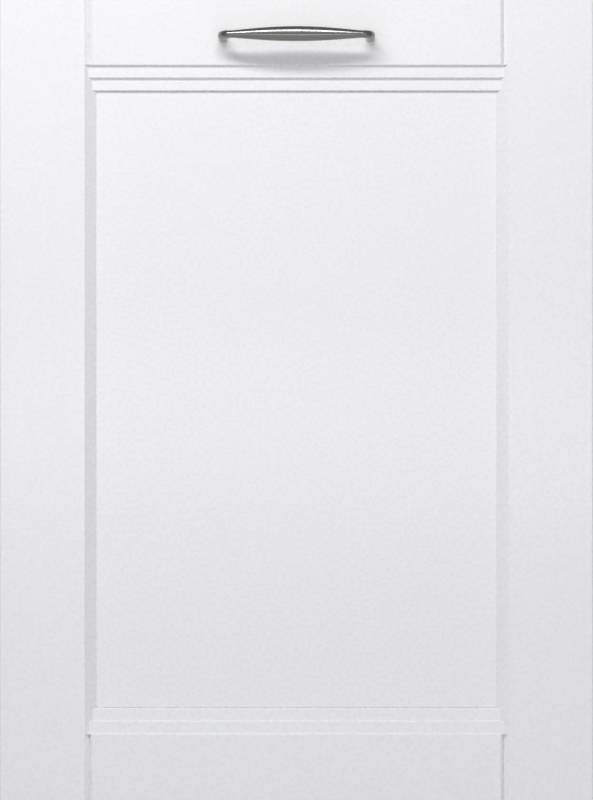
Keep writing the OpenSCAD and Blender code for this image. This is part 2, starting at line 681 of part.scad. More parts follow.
module rack_rails() place() color(c_steel) both_sides() {
  box(tub_half - rail_w, tub_half, rail_front, rail_rear, rail_z - rail_h / 2, rail_z + rail_h / 2);
  box(tub_half - 10, tub_half, rail_front, rail_rear, lip_z - 8, lip_z - 4);
  box(tub_half - 10, tub_half, rail_front, rail_rear, lip_z + 4, lip_z + 8);
}
manifold_z = upper_z - rim_r - fill_r - 10;
upper_arm_z = manifold_z - 10 - arm_t - 2;
upper_arm_r = arm_r - 14;
module upper_manifold() place() color(c_grey) {
  rod_y(0, arm_y + 16, rack_rear - 4, manifold_z, 8);
  rod_z(0, arm_y, upper_arm_z + arm_t + slide_gap, manifold_z + 9, 16 - wire_gap);
  rod_z(0, arm_y, upper_arm_z - 6, upper_arm_z + arm_t + slide_gap, 9);
}
module upper_spray_arm() place() color(c_grey)
  spray_arm(arm_y, upper_arm_z, upper_arm_r, 17, 9 + run_fit);
module cutlery_tray() place() color(c_grey) {
  difference() {
    union() {
      box(-tray_half, tray_half, rack_front, rack_rear, tray_z, lip_z);
      both_sides() box(tray_half, tub_half - 2, rack_front + 10, rack_rear - 10, lip_z - 3.4, lip_z + 3.4);
    }
    box(-tray_half + 3, tray_half - 3, rack_front + 3, rack_rear - 3, tray_z + 3, lip_z + 4);
    for (i = [0:5], j = [0:7]) {
      w = (2 * tray_half - 30) / 6;
      d = (rack_d - 30) / 8;
      box(-tray_half + 18 + w * i, -tray_half + 12 + w * (i + 1), rack_front + 18 + d * j,
        rack_front + 12 + d * (j + 1), tray_z - 1, tray_z + 4);
    }
  }
}

panel_left_stile();
panel_right_stile();
panel_top_rail();
panel_bottom_rail();
panel_centre();
handle();
panel_screws();
door_frame();
door_insulation();
door_liner();
control_fascia();
display_window();
control_board();
latch_housing();
dispenser_body();
hinge_arms();
door_bottom_seal();
power_button();
programme_button();
start_button();
latch_lever();
dispenser_lid();
rinse_aid_cap();
tub();
door_gasket();
base_pan();
insulation_blanket();
rear_brace();
toe_kick();
counter_brackets();
latch_striker();
hinge_brackets();
door_springs();
sump();
fine_filter();
circulation_pump();
drain_pump();
heater();
inlet_valve();
junction_box();
water_pipe();
top_spray_head();
rack_rails();
round_filter();
float_bell();
lower_spray_arm();
foot_front_left();
foot_front_right();
foot_rear();
lower_rack();
wheel_front_left();
wheel_front_right();
wheel_rear_left();
wheel_rear_right();
fold_down_tines();
upper_rack();
rail_slides();
upper_manifold();
upper_spray_arm();
cutlery_tray();
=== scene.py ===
"""Built-in dishwasher: finished surfaces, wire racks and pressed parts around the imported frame."""
import json
import math

import bmesh
import bpy
from bpy.props import FloatProperty, PointerProperty
from bpy.types import Operator, Panel, PropertyGroup
from mathutils import Matrix, Vector


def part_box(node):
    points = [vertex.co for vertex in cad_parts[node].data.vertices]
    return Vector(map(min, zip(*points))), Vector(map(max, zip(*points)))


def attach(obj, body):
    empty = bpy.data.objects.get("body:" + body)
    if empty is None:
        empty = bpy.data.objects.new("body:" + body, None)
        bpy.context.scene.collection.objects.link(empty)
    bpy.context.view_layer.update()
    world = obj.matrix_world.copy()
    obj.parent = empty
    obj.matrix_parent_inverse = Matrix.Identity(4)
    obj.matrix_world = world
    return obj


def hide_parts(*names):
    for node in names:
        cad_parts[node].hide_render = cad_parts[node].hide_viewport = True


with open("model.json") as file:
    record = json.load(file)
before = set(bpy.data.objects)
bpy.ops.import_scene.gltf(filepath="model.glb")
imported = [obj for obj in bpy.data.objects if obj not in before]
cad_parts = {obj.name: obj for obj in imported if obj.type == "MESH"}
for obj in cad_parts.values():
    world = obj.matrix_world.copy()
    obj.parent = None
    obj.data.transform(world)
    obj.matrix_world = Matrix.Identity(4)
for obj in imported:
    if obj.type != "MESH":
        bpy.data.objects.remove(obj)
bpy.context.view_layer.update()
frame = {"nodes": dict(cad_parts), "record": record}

bl_info = {
    "name": "Built-in Dishwasher",
    "version": (1, 0, 0),
    "blender": (4, 5, 0),
    "location": "3D View > Sidebar > Dishwasher",
    "description": "Builds a built-in dishwasher with a framed door front around its frame",
    "category": "Object",
}

NODES = frame["nodes"]
BODY_OF = {node: body for body, nodes in frame["record"]["behaviour"]["bodies"].items() for node in nodes}
SLOT_OF = {part["node"]: part["material_slot"] for part in frame["record"]["subparts"]}


# ---------------------------------------------------------------- sizes read from the frame

def planes(node, axis):
    """The distinct coordinates of a node's corners along one axis, in order."""
    return sorted({round(v.co[axis], 5) for v in NODES[node].data.vertices})


def middle(node):
    low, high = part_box(node)
    return (low + high) / 2


# ---------------------------------------------------------------- mesh helpers

def linear(code):
    """An sRGB hex colour as linear RGBA."""
    parts = [int(code[i:i + 2], 16) / 255 for i in (1, 3, 5)]
    return [p / 12.92 if p <= 0.04045 else ((p + 0.055) / 1.055) ** 2.4 for p in parts] + [1.0]


def add_node(tree, kind, inputs=(), **settings):
    """Adds one node with its settings. An input takes a value, or the output it is linked from."""
    node = tree.nodes.new(kind)
    for key, value in settings.items():
        setattr(node, key, value)
    for key, value in dict(inputs).items():
        if isinstance(value, bpy.types.NodeSocket):
            tree.links.new(value, node.inputs[key])
        else:
            node.inputs[key].default_value = value
    return node


def linked(name, data):
    """A new object, in the scene."""
    obj = bpy.data.objects.new(name, data)
    bpy.context.scene.collection.objects.link(obj)
    return obj


def to_mesh(bm, name):
    mesh = bpy.data.meshes.new(name)
    bm.to_mesh(mesh)
    bm.free()
    return mesh


def shade(mesh, sharp_deg=35):
    for polygon in mesh.polygons:
        polygon.use_smooth = True
    mesh.set_sharp_from_angle(angle=math.radians(sharp_deg))


def piece(name, source, material, body, replaces=(), slot=None, sharp_deg=35):
    """Makes a finished piece from a mesh or bmesh, ties it to its body, and hides the CAD nodes it stands for."""
    mesh = to_mesh(source, name) if isinstance(source, bmesh.types.BMesh) else source
    mesh.name = name
    if sharp_deg:
        shade(mesh, sharp_deg)
    mesh.materials.clear()
    mesh.materials.append(material)
    obj = linked(name, mesh)
    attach(obj, body)
    if replaces:
        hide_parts(*replaces)
        slot = slot or SLOT_OF[replaces[0]]
    return obj


def baked(obj):
    """The evaluated mesh of an object with modifiers; the object itself is then removed."""
    depsgraph = bpy.context.evaluated_depsgraph_get()
    mesh = bpy.data.meshes.new_from_object(obj.evaluated_get(depsgraph))
    bpy.data.objects.remove(obj)
    return mesh


def cad_copy(node):
    """A node's own shape as a clean bmesh: corners merged and flat faces joined."""
    bm = bmesh.new()
    bm.from_mesh(NODES[node].data)
    bmesh.ops.remove_doubles(bm, verts=bm.verts, dist=2e-6)
    bmesh.ops.dissolve_limit(bm, angle_limit=math.radians(0.6), verts=bm.verts, edges=bm.edges)
    return bm


def ease_edges(bm, width, segments=2, angle_deg=25):
    """Rounds the sharp edges, as a real part has no knife edges."""
    sharp = [e for e in bm.edges if len(e.link_faces) == 2 and e.calc_face_angle(0) > math.radians(angle_deg)]
    if sharp:
        bmesh.ops.bevel(bm, geom=sharp, offset=width, segments=segments, profile=0.5, affect="EDGES",
                        clamp_overlap=True)
    return bm


def settled(mesh, sharp_deg):
    """Keeps big flat faces flat in the shading, next to bent or rounded ones."""
    shade(mesh, sharp_deg)
    obj = linked("settle", mesh)
    modifier = obj.modifiers.new("Weighted normals", "WEIGHTED_NORMAL")
    modifier.keep_sharp = True
    return baked(obj)


def weighted(bm, name):
    return settled(to_mesh(bm, name), 50)


def outward_piece(bm, name, *rest, **more):
    """A finished piece from turned shapes, with its normals outward."""
    bmesh.ops.recalc_face_normals(bm, faces=bm.faces)
    return piece(name, bm, *rest, **more)


def softened(node, width, material, name=None, segments=2):
    """A CAD node's shape with eased edges, standing for that node."""
    bm = ease_edges(cad_copy(node), width, segments)
    return piece(name or node + "_finish", weighted(bm, node), material, BODY_OF[node], [node], sharp_deg=None)


def box_mesh(bm, low, high):
    made = bmesh.ops.create_cube(bm, size=1.0)["verts"]
    low, high = Vector(low), Vector(high)
    for v in made:
        v.co = Vector(((low[i] + high[i]) / 2 + v.co[i] * (high[i] - low[i])) for i in range(3))
    return made


def loft(bm, rings, closed=True, cap=True):
    """Joins rings of points with quads. Each ring has the same number of points."""
    rows = [[bm.verts.new(p) for p in ring] for ring in rings]
    count = len(rows[0])
    for a, b in zip(rows, rows[1:]):
        for i in range(count if closed else count - 1):
            j = (i + 1) % count
            bm.faces.new((a[i], a[j], b[j], b[i]))
    if cap and closed:
        bm.faces.new(list(reversed(rows[0])))
        bm.faces.new(rows[-1])
    return rows


def turned(bm, profile, centre, axis, steps=48):
    """Lathes a profile of (radius, distance along the axis) points round an axis through centre."""
    axis = Vector(axis).normalized()
    side = axis.orthogonal().normalized()
    other = axis.cross(side)
    rows = []
    for k in range(steps):
        a = 2 * math.pi * k / steps
        out = side * math.cos(a) + other * math.sin(a)
        rows.append([Vector(centre) + axis * h + out * r for r, h in profile])
    verts = [[bm.verts.new(p) for p in row] for row in rows]
    for k in range(steps):
        a, b = verts[k], verts[(k + 1) % steps]
        for i in range(len(profile) - 1):
            bm.faces.new((a[i], b[i], b[i + 1], a[i + 1]))
    bmesh.ops.remove_doubles(bm, verts=bm.verts, dist=1e-7)
    bmesh.ops.recalc_face_normals(bm, faces=bm.faces)
    return bm


def arc(cx, cy, r, a0, a1, steps):
    return [(cx + r * math.cos(math.radians(a0 + (a1 - a0) * i / steps)),
             cy + r * math.sin(math.radians(a0 + (a1 - a0) * i / steps))) for i in range(steps + 1)]


# ---------------------------------------------------------------- materials

LOOKS = {
    # Catalysed white lacquer on the wooden door front: smooth, with faint orange peel.
    "white_lacquer": dict(colour="#F3F3F4", worn="#F1F1F2", rough=(0.26, 0.29), grain=(260, 260, 260),
                          bump=0.0000006, coat=0.35),
    # Brushed nickel plating on the bow handle, brushed along its length.
    "nickel_plate": dict(colour="#90908E", worn="#848482", rough=(0.17, 0.23), metal=1.0,
                           grain=(30, 2600, 2600), bump=0.0000012),
    # Satin AISI 304 stainless sheet, rolled grain running across.
    "stainless": dict(colour="#C9CBCC", worn="#BBBEC0", rough=(0.24, 0.34), metal=1.0,
                      grain=(25, 900, 900), bump=0.000004, stretch=0.35),
    # Drawn and polished stainless parts: rails, heater tube, buttons.
    "bright_stainless": dict(colour="#D2D4D5", worn="#C3C6C8", rough=(0.12, 0.2), metal=1.0,
                             grain=(300, 300, 300), bump=0.000002),
    # Hot-dip galvanised steel with its spangle.
    "galvanised": dict(colour="#A9ADB0", worn="#8F9498", rough=(0.34, 0.5), metal=1.0, grain=(95, 95, 95),
                       bump=0.000003, texture="spangle"),
    # Nylon-coated rack wire, grey.
    "nylon_wire": dict(colour="#868C93", worn="#7E848B", rough=(0.36, 0.44), grain=(400, 400, 400),
                       bump=0.00001, coat=0.15),
    # Moulded ABS, charcoal.
    "dark_abs": dict(colour="#27292D", worn="#303236", rough=(0.38, 0.5), grain=(1500, 1500, 1500),
                     bump=0.00003),
    # Polypropylene base moulding, dark grey.
    "base_pp": dict(colour="#3C3F43", worn="#45484C", rough=(0.5, 0.62), grain=(900, 900, 900), bump=0.00004),
    # Polypropylene water parts, mid grey.
    "grey_pp": dict(colour="#8D9399", worn="#848A90", rough=(0.36, 0.46), grain=(700, 700, 700), bump=0.00002),
    # Acetal wheels and clips, light grey.
    "light_pom": dict(colour="#B9BDC1", worn="#AFB3B8", rough=(0.3, 0.4), grain=(700, 700, 700), bump=0.00001),
    # Blue polypropylene with a fine moulded mesh, for the round filter.
    "blue_pp": dict(colour="#5C7FA9", worn="#4F719A", rough=(0.4, 0.5), grain=(800, 800, 800), bump=0.00002),
    # Glass-fibre board under green solder mask.
    "solder_mask": dict(colour="#1D5A3B", worn="#2A6E4A", rough=(0.28, 0.4), grain=(600, 600, 600),
                        bump=0.00001),
    # Smoked acrylic over the display.
    "smoked_acrylic": dict(colour="#0E0F12", worn="#121317", rough=(0.06, 0.1), grain=(50, 50, 50), bump=0.0,
                           coat=0.6),
    # EPDM seal rubber, black.
    "epdm": dict(colour="#1B1C1E", worn="#242527", rough=(0.55, 0.7), grain=(1200, 1200, 1200), bump=0.00003),
    # Bitumen sheet under black felt, which damps the tub.
    "felt": dict(colour="#26272A", worn="#3A3B3F", rough=(0.85, 0.97), grain=(2200, 2200, 2200), bump=0.00025,
                 sheen=0.5),
    # Black powder coat on the toe plate.
    "powder_coat": dict(colour="#17181A", worn="#1E1F22", rough=(0.42, 0.55), grain=(1700, 1700, 1700),
                        bump=0.00003),
}


def material(key):
    """A procedural material: two close tones, a roughness range and a fine bump, in the piece's own space."""
    if key in bpy.data.materials:
        return bpy.data.materials[key]
    look = LOOKS[key]
    mat = bpy.data.materials.new(key)
    mat.use_nodes = True
    tree = mat.node_tree
    shader = tree.nodes["Principled BSDF"]
    place = add_node(tree, "ShaderNodeTexCoord")
    spread = add_node(tree, "ShaderNodeMapping", {"Vector": place.outputs["Object"], "Scale": look["grain"]})
    if look.get("texture") == "spangle":
        cells = add_node(tree, "ShaderNodeTexVoronoi", {"Vector": spread.outputs[0], "Scale": 1.0})
        tone = add_node(tree, "ShaderNodeSeparateColor", {"Color": cells.outputs["Color"]}).outputs[0]
    else:
        noise = add_node(tree, "ShaderNodeTexNoise", {"Vector": spread.outputs[0], "Scale": 1.0, "Detail": 3.0})
        tone = noise.outputs[0]
    mixed = add_node(tree, "ShaderNodeMix", {0: tone, 6: linear(look["colour"]), 7: linear(look["worn"])},
                     data_type="RGBA")
    gloss = add_node(tree, "ShaderNodeMapRange", {"Value": tone, "To Min": look["rough"][0],
                                                  "To Max": look["rough"][1]})
    tree.links.new(mixed.outputs[2], shader.inputs["Base Color"])
    tree.links.new(gloss.outputs[0], shader.inputs["Roughness"])
    if look["bump"]:
        bump = add_node(tree, "ShaderNodeBump", {"Height": tone, "Distance": look["bump"], "Strength": 1.0})
        tree.links.new(bump.outputs[0], shader.inputs["Normal"])
    shader.inputs["Metallic"].default_value = look.get("metal", 0.0)
    shader.inputs["Anisotropic"].default_value = look.get("stretch", 0.0)
    shader.inputs["Coat Weight"].default_value = look.get("coat", 0.0)
    shader.inputs["Coat Roughness"].default_value = 0.12
    shader.inputs["Sheen Weight"].default_value = look.get("sheen", 0.0)
    return mat


# ---------------------------------------------------------------- geometry nodes

def node_group(name, sockets):
    """A geometry node group with named inputs: (name, socket type, default)."""
    tree = bpy.data.node_groups.new(name, "GeometryNodeTree")
    tree.interface.new_socket("Geometry", in_out="INPUT", socket_type="NodeSocketGeometry")
    tree.interface.new_socket("Geometry", in_out="OUTPUT", socket_type="NodeSocketGeometry")
    for label, kind, default in sockets:
        socket = tree.interface.new_socket(label, in_out="INPUT", socket_type=kind)
        socket.default_value = default
    return tree, add_node(tree, "NodeGroupInput").outputs


def finish_group(tree, geometry, finish):
    """Ends a group with plain geometry in one material."""
    real = add_node(tree, "GeometryNodeRealizeInstances", {"Geometry": geometry}).outputs[0]
    done = add_node(tree, "GeometryNodeSetMaterial", {"Geometry": real, "Material": finish}).outputs[0]
    add_node(tree, "NodeGroupOutput", {"Geometry": done})


def wire_group(finish):
    """Wire bent round every corner of a path of straight edges."""
    tree, given = node_group("bent_wire " + finish.name, [
        ("Radius", "NodeSocketFloat", 0.0015), ("Bend", "NodeSocketFloat", 0.01), ("Sides", "NodeSocketInt",
                                                                                   10)])
    path = add_node(tree, "GeometryNodeMeshToCurve", {"Mesh": given["Geometry"]}).outputs[0]
    bent = add_node(tree, "GeometryNodeFilletCurve", {"Curve": path, "Count": 5, "Radius": given["Bend"],
                                                      "Limit Radius": True}, mode="POLY").outputs[0]
    ring = add_node(tree, "GeometryNodeCurvePrimitiveCircle", {"Resolution": given["Sides"],
                                                               "Radius": given["Radius"]}).outputs[0]
    wire = add_node(tree, "GeometryNodeCurveToMesh", {"Curve": bent, "Profile Curve": ring,
                                                      "Fill Caps": True}).outputs[0]
    finish_group(tree, wire, finish)
    return tree


def scatter_group(finish):
    """One small turned shape, set on every point of a mesh and turned to its normal."""
    tree, given = node_group("set_on_points " + finish.name, [
        ("Radius", "NodeSocketFloat", 0.003), ("Height", "NodeSocketFloat", 0.002), ("Top", "NodeSocketFloat",
                                                                                     0.6)])
    top = add_node(tree, "ShaderNodeMath", {0: given["Radius"], 1: given["Top"]},
                   operation="MULTIPLY").outputs[0]
    stud = add_node(tree, "GeometryNodeMeshCone", {"Vertices": 16, "Radius Top": top,
                                                   "Radius Bottom": given["Radius"], "Depth": given["Height"]})
    normal = add_node(tree, "GeometryNodeInputNormal").outputs[0]
    turn = add_node(tree, "FunctionNodeAlignRotationToVector", {"Vector": normal}, axis="Z").outputs[0]
    placed = add_node(tree, "GeometryNodeInstanceOnPoints", {"Points": given["Geometry"],
                                                             "Instance": stud.outputs["Mesh"], "Rotation": turn})
    finish_group(tree, placed.outputs[0], finish)
    return tree


def coil_group(finish):
    """A close-wound coil along +Z from the origin."""
    tree, given = node_group("coil " + finish.name, [
        ("Turns", "NodeSocketFloat", 40.0), ("Radius", "NodeSocketFloat", 0.004),
        ("Length", "NodeSocketFloat", 0.1), ("Wire", "NodeSocketFloat", 0.0008)])
    spiral = add_node(tree, "GeometryNodeCurveSpiral", {"Resolution": 20, "Rotations": given["Turns"],
                                                        "Start Radius": given["Radius"],
                                                        "End Radius": given["Radius"],
                                                        "Height": given["Length"]}).outputs[0]
    ring = add_node(tree, "GeometryNodeCurvePrimitiveCircle",
                    {"Resolution": 6, "Radius": given["Wire"]}).outputs[0]
    wire = add_node(tree, "GeometryNodeCurveToMesh", {"Curve": spiral, "Profile Curve": ring,
                                                      "Fill Caps": True}).outputs[0]
    finish_group(tree, wire, finish)
    return tree


def grown(maker, finish, mesh, values, matrix=None):
    """Runs a group on a mesh and returns the plain mesh it makes."""
    name = {"wire_group": "bent_wire ", "scatter_group": "set_on_points ",
            "coil_group": "coil "}[maker.__name__]
    tree = bpy.data.node_groups.get(name + finish.name) or maker(finish)
    obj = linked("seed", mesh)
    modifier = obj.modifiers.new("Nodes", "NODES")
    modifier.node_group = tree
    for item in tree.interface.items_tree:
        if item.in_out == "INPUT" and item.name in values:
            modifier[item.identifier] = values[item.name]
    made = baked(obj)
    if matrix:
        made.transform(matrix)
    return made


def joined(*meshes):
    """Several meshes as one bmesh."""
    bm = bmesh.new()
    for mesh in meshes:
        bm.from_mesh(mesh)
    return bm


def wires(paths, radius, bend, finish, sides=10):
    """Wires along paths of points. A path is (points, closed)."""
    mesh = bpy.data.meshes.new("paths")
    points, edges = [], []
    for path, closed in paths:
        first = len(points)
        points += [tuple(p) for p in path]
        edges += [(first + i, first + i + 1) for i in range(len(path) - 1)]
        if closed:
            edges.append((first + len(path) - 1, first))
    mesh.from_pydata(points, edges, [])
    return grown(wire_group, finish, mesh, {"Radius": radius, "Bend": bend, "Sides": sides})


def studs(places, finish, radius, height, top=0.6):
    """Small turned studs, each at (place, direction); they are sunk a little into what carries them."""
    bm = bmesh.new()
    for place, way in places:
        way = Vector(way).normalized()
        side = way.orthogonal().normalized() * 1e-5
        other = way.cross(side)
        start = Vector(place)
        verts = [bm.verts.new(start + side), bm.verts.new(start - side * 0.5 + other * 0.9),
                 bm.verts.new(start - side * 0.5 - other * 0.9)]
        bm.faces.new(verts)
    return grown(scatter_group, finish, to_mesh(bm, "places"), {"Radius": radius, "Height": height, "Top": top})


# ---------------------------------------------------------------- racks

def parts_of(node):
    """The boxes of a CAD node's separate pieces, as (low, high)."""
    bm = cad_copy(node)
    seen, boxes = set(), []
    for start in bm.verts:
        if start.index in seen:
            continue
        stack, group = [start], []
        seen.add(start.index)
        while stack:
            v = stack.pop()
            group.append(v.co.copy())
            for e in v.link_edges:
                w = e.other_vert(v)
                if w.index not in seen:
                    seen.add(w.index)
                    stack.append(w)
        boxes.append((Vector(min(p[i] for p in group) for i in range(3)),
                      Vector(max(p[i] for p in group) for i in range(3))))
    bm.free()
    return boxes


def along(boxes, axis, least=0.02):
    """The pieces that are rods along an axis, as (centre, radius, length)."""
    rods = []
    for low, high in boxes:
        span = high - low
        others = [span[i] for i in range(3) if i != axis]
        if span[axis] > least and abs(others[0] - others[1]) < 2e-4 and span[axis] > 3 * others[0]:
            rods.append(((low + high) / 2, others[0] / 2, span[axis]))
    return rods


def basket(node, finish, size, extra=()):
    """A wire basket from a CAD basket: bent floor wires run up to both rims, with rounded rims."""
    boxes = parts_of(node)
    thick = max(r for c, r, n in along(boxes, 0))
    rims = [(c, r, n) for c, r, n in along(boxes, 0) if r > thick * 0.95]
    half = max(n for c, r, n in rims) / 2
    y0, y1 = min(c.y for c, r, n in rims), max(c.y for c, r, n in rims)
    z0, z1 = min(c.z for c, r, n in rims), max(c.z for c, r, n in rims)
    fill = min(r for c, r, n in along(boxes, 0))
    side = half - thick
    lanes = sorted(c.x for c, r, n in along(boxes, 1) if r < thick * 0.95)
    rows = sorted(c.y for c, r, n in along(boxes, 0) if r < thick * 0.95)
    floor = z0 + thick + fill
    loops = [([(-side, y0, z), (side, y0, z), (side, y1, z), (-side, y1, z)], True) for z in (z0, z1)]
    bends = []
    for x in lanes:
        bends.append(([(x, y0 + thick + fill, z1), (x, y0 + thick + fill, floor), (x, y1 - thick - fill, floor),
                       (x, y1 - thick - fill, z1)], False))
    inner = side - thick - fill
    under = floor - 2 * fill
    for y in rows:
        bends.append(([(-inner, y, z1), (-inner, y, under), (inner, y, under), (inner, y, z1)], False))
    bends += list(extra)
    return joined(wires(loops, thick, size.corner, finish, 14), wires(bends, fill, size.bend, finish, 8)), dict(
        half=half, y0=y0, y1=y1, z0=z0, z1=z1, thick=thick, fill=fill, floor=floor)


def hanger(bm, low, high):
    """A wheel hanger plate with rounded corners, standing on the side of the rack."""
    y0, y1, z0, z1 = low.y, high.y, low.z, high.z
    r = 0.011
    outline = []
    for cy, cz, a in ((y1 - r, z1 - r, 0), (y0 + r, z1 - r, 90), (y0 + r, z0 + r, 180), (y1 - r, z0 + r, 270)):
        outline += arc(cy, cz, r, a, a + 90, 5)
    loft(bm, [[Vector((x, y, z)) for y, z in outline] for x in (low.x, high.x)])


def rack_grip(bm, x0, x1, y, z, depth, height):
    """A moulded grip clipped along the top rim."""
    section = [(y - depth, z - height), (y - depth * 1.15, z - height * 0.3), (y - depth, z + height * 0.25),
               (y, z + height * 0.4), (y + depth * 0.6, z + height * 0.1), (y + depth * 0.6, z - height * 0.3),
               (y, z - height * 0.35), (y - depth * 0.5, z - height * 0.8)]
    steps = 16
    rings = []
    for i in range(steps + 1):
        t = i / steps
        x = x0 + (x1 - x0) * t
        grow = min(1.0, math.sin(math.pi * t) * 2.5 + 0.45)
        rings.append([Vector((x, y + (py - y) * grow, z + (pz - z) * grow)) for py, pz in section])
    loft(bm, rings)


WHEELS = ("wheel_front_left", "wheel_front_right", "wheel_rear_left", "wheel_rear_right")
FEET = ("foot_front_left", "foot_front_right", "foot_rear")


def rack_pieces(size):
    wire = material("nylon_wire")
    pom = material("light_pom")
    lower_boxes = parts_of("lower_rack")
    lower, at = basket("lower_rack", wire, size)
    piece("lower_basket", lower, wire, BODY_OF["lower_rack"], ["lower_rack"], sharp_deg=50)
    bm = bmesh.new()
    for low, high in lower_boxes:
        span = high - low
        inner = min(abs(low.x), abs(high.x))
        if inner >= at["half"] and span.y > 0.02:
            side = 1 if low.x > 0 else -1
            plate = [Vector((side * inner, low.y, low.z)), Vector((side * (inner + 0.004), high.y, high.z))]
            hanger(bm, Vector((min(p.x for p in plate), low.y, low.z)),
                   Vector((max(p.x for p in plate), high.y, high.z)))
    for wheel in WHEELS:
        c = middle(wheel)
        out = 1 if c.x > 0 else -1
        reach = max(abs(v) for v in (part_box("lower_rack")[0].x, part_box("lower_rack")[1].x))
        turned(bm, [(0, 0), (0.0031, 0), (0.0031, reach - at["half"] - 0.001),
                    (0.0042, reach - at["half"] - 0.001),
                    (0.0042, reach - at["half"]), (0, reach - at["half"])],
               (out * at["half"], c.y, c.z), (out, 0, 0), 24)
    rack_grip(bm, -0.085, 0.085, at["y0"], at["z1"], 0.007, 0.016)
    outward_piece(bm, "lower_rack_fittings", pom, BODY_OF["lower_rack"], slot="grey_plastic")
    upper, at = basket("upper_rack", wire, size)
    piece("upper_basket", upper, wire, BODY_OF["upper_rack"], ["upper_rack"], sharp_deg=50)
    bm = bmesh.new()
    slide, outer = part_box("rail_slides"), planes("upper_rack", 0)[-1]
    rail_in = outer - 0.005
    top = at["z1"]
    ends = sorted({round(v.co.y, 4) for v in NODES["upper_rack"].data.vertices
                   if v.co.x > at["half"] and v.co.z > top - 0.001})
    for side in (-1, 1):
        for y0, y1 in (ends[:2], ends[-2:]):
            x = sorted((side * (at["half"] + 0.0002), side * rail_in))
            hanger(bm, Vector((x[0], y0, slide[0].z + 0.002)), Vector((x[1], y1, top)))
    rack_grip(bm, -0.075, 0.075, at["y0"], at["z1"], 0.007, 0.014)
    outward_piece(bm, "upper_rack_fittings", pom, BODY_OF["upper_rack"], slot="grey_plastic")
    tine_pieces(wire)
    for name in WHEELS:
        wheel_piece(name, pom)
    rail_pieces()
    tray_piece()


def tine_pieces(wire):
    """A row of hairpin tines on a pivot rod."""
    boxes = parts_of("fold_down_tines")
    rod = max(along(boxes, 0), key=lambda r: r[2])
    tops = along(boxes, 2)
    top = max(high.z for low, high in boxes)
    fill = min(r for c, r, n in tops)
    xs = sorted(c.x for c, r, n in tops)
    c, r, length = rod
    lean = 0.006
    paths = [([(x - lean, c.y, c.z), (x - lean, c.y, top - fill), (x + lean, c.y, top - fill),
               (x + lean, c.y, c.z)], False) for x in xs]
    rod_path = [([(c.x - length / 2, c.y, c.z), (c.x + length / 2, c.y, c.z)], False)]
    bm = joined(wires(paths, fill * 0.85, lean, wire, 8), wires(rod_path, r, 0.0, wire, 12))
    piece("tine_row", bm, wire, BODY_OF["fold_down_tines"], ["fold_down_tines"], sharp_deg=50)


def wheel_piece(node, finish):
    """A rack wheel: tyre, six spokes and hub."""
    low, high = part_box(node)
    c = (low + high) / 2
    half, rim = (high.x - low.x) / 2, (high.z - low.z) / 2
    bore = min(math.hypot(v.co.y - c.y, v.co.z - c.z) for v in NODES[node].data.vertices)
    bm = bmesh.new()
    turned(bm, [(rim - 0.004, -half), (rim - 0.001, -half), (rim, -half + 0.001), (rim, half - 0.001),
                (rim - 0.001, half), (rim - 0.004, half), (rim - 0.004, -half)], c, (1, 0, 0), 48)
    turned(bm, [(bore, -half), (bore + 0.0022, -half), (bore + 0.0028, -half + 0.0006),
                (bore + 0.0028, half - 0.0006), (bore + 0.0022, half), (bore, half), (bore, -half)],
           c, (1, 0, 0), 32)
    for k in range(6):
        a = 2 * math.pi * k / 6
        spoke = box_mesh(bm, (-half * 0.5, -0.0013, bore + 0.0020), (half * 0.5, 0.0013, rim - 0.0035))
        bmesh.ops.transform(bm, matrix=Matrix.Translation(c) @ Matrix.Rotation(a, 4, "X"), verts=spoke)
    piece(node + "_roller", bm, finish, BODY_OF[node], [node], slot="grey_plastic", sharp_deg=40)


def channel(low, high, open_side, wall=0.0012, lip=0.004):
    """A C-shaped rail along y inside a box, open to one side in x."""
    bm = bmesh.new()
    back, front = (low.x, high.x) if open_side > 0 else (high.x, low.x)
    s = open_side
    section = [(back, low.z), (front, low.z), (front, low.z + lip), (front - s * wall, low.z + lip),
               (front - s * wall, low.z + wall), (back + s * wall, low.z + wall),
               (back + s * wall, high.z - wall), (front - s * wall, high.z - wall),
               (front - s * wall, high.z - lip), (front, high.z - lip), (front, high.z), (back, high.z)]
    loft(bm, [[Vector((x, y, z)) for x, z in section] for y in (low.y, high.y)])
    bmesh.ops.recalc_face_normals(bm, faces=bm.faces)
    return ease_edges(bm, 0.0003, 1)


def rail_pieces():
    """Telescopic rails as rolled channels, with the balls' cage as a flat strip inside."""
    steel = material("bright_stainless")
    for node in ("rack_rails", "rail_slides"):
        meshes = []
        for low, high in parts_of(node):
            side = 1 if low.x > 0 else -1
            if (high - low).z < 0.01:
                bm = bmesh.new()
                box_mesh(bm, low, high)
                bm = ease_edges(bm, 0.0006, 2)
            else:
                bm = channel(low, high, -side)
            meshes.append(to_mesh(bm, "rail"))
        piece(node + "_channel", joined(*meshes), steel, BODY_OF[node], [node], sharp_deg=30)
    low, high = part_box("rail_slides")
    outer = planes("upper_rack", 0)[-1]
    meshes = []
    for side in (-1, 1):
        x = sorted((side * outer, side * (outer - 0.005)))
        bm = channel(Vector((x[0], low.y, low.z - 0.001)), Vector((x[1], high.y, high.z + 0.001)), side)
        meshes.append(to_mesh(bm, "rail"))
    piece("upper_rack_channel", joined(*meshes), steel, BODY_OF["upper_rack"], slot="stainless_steel",
          sharp_deg=30)


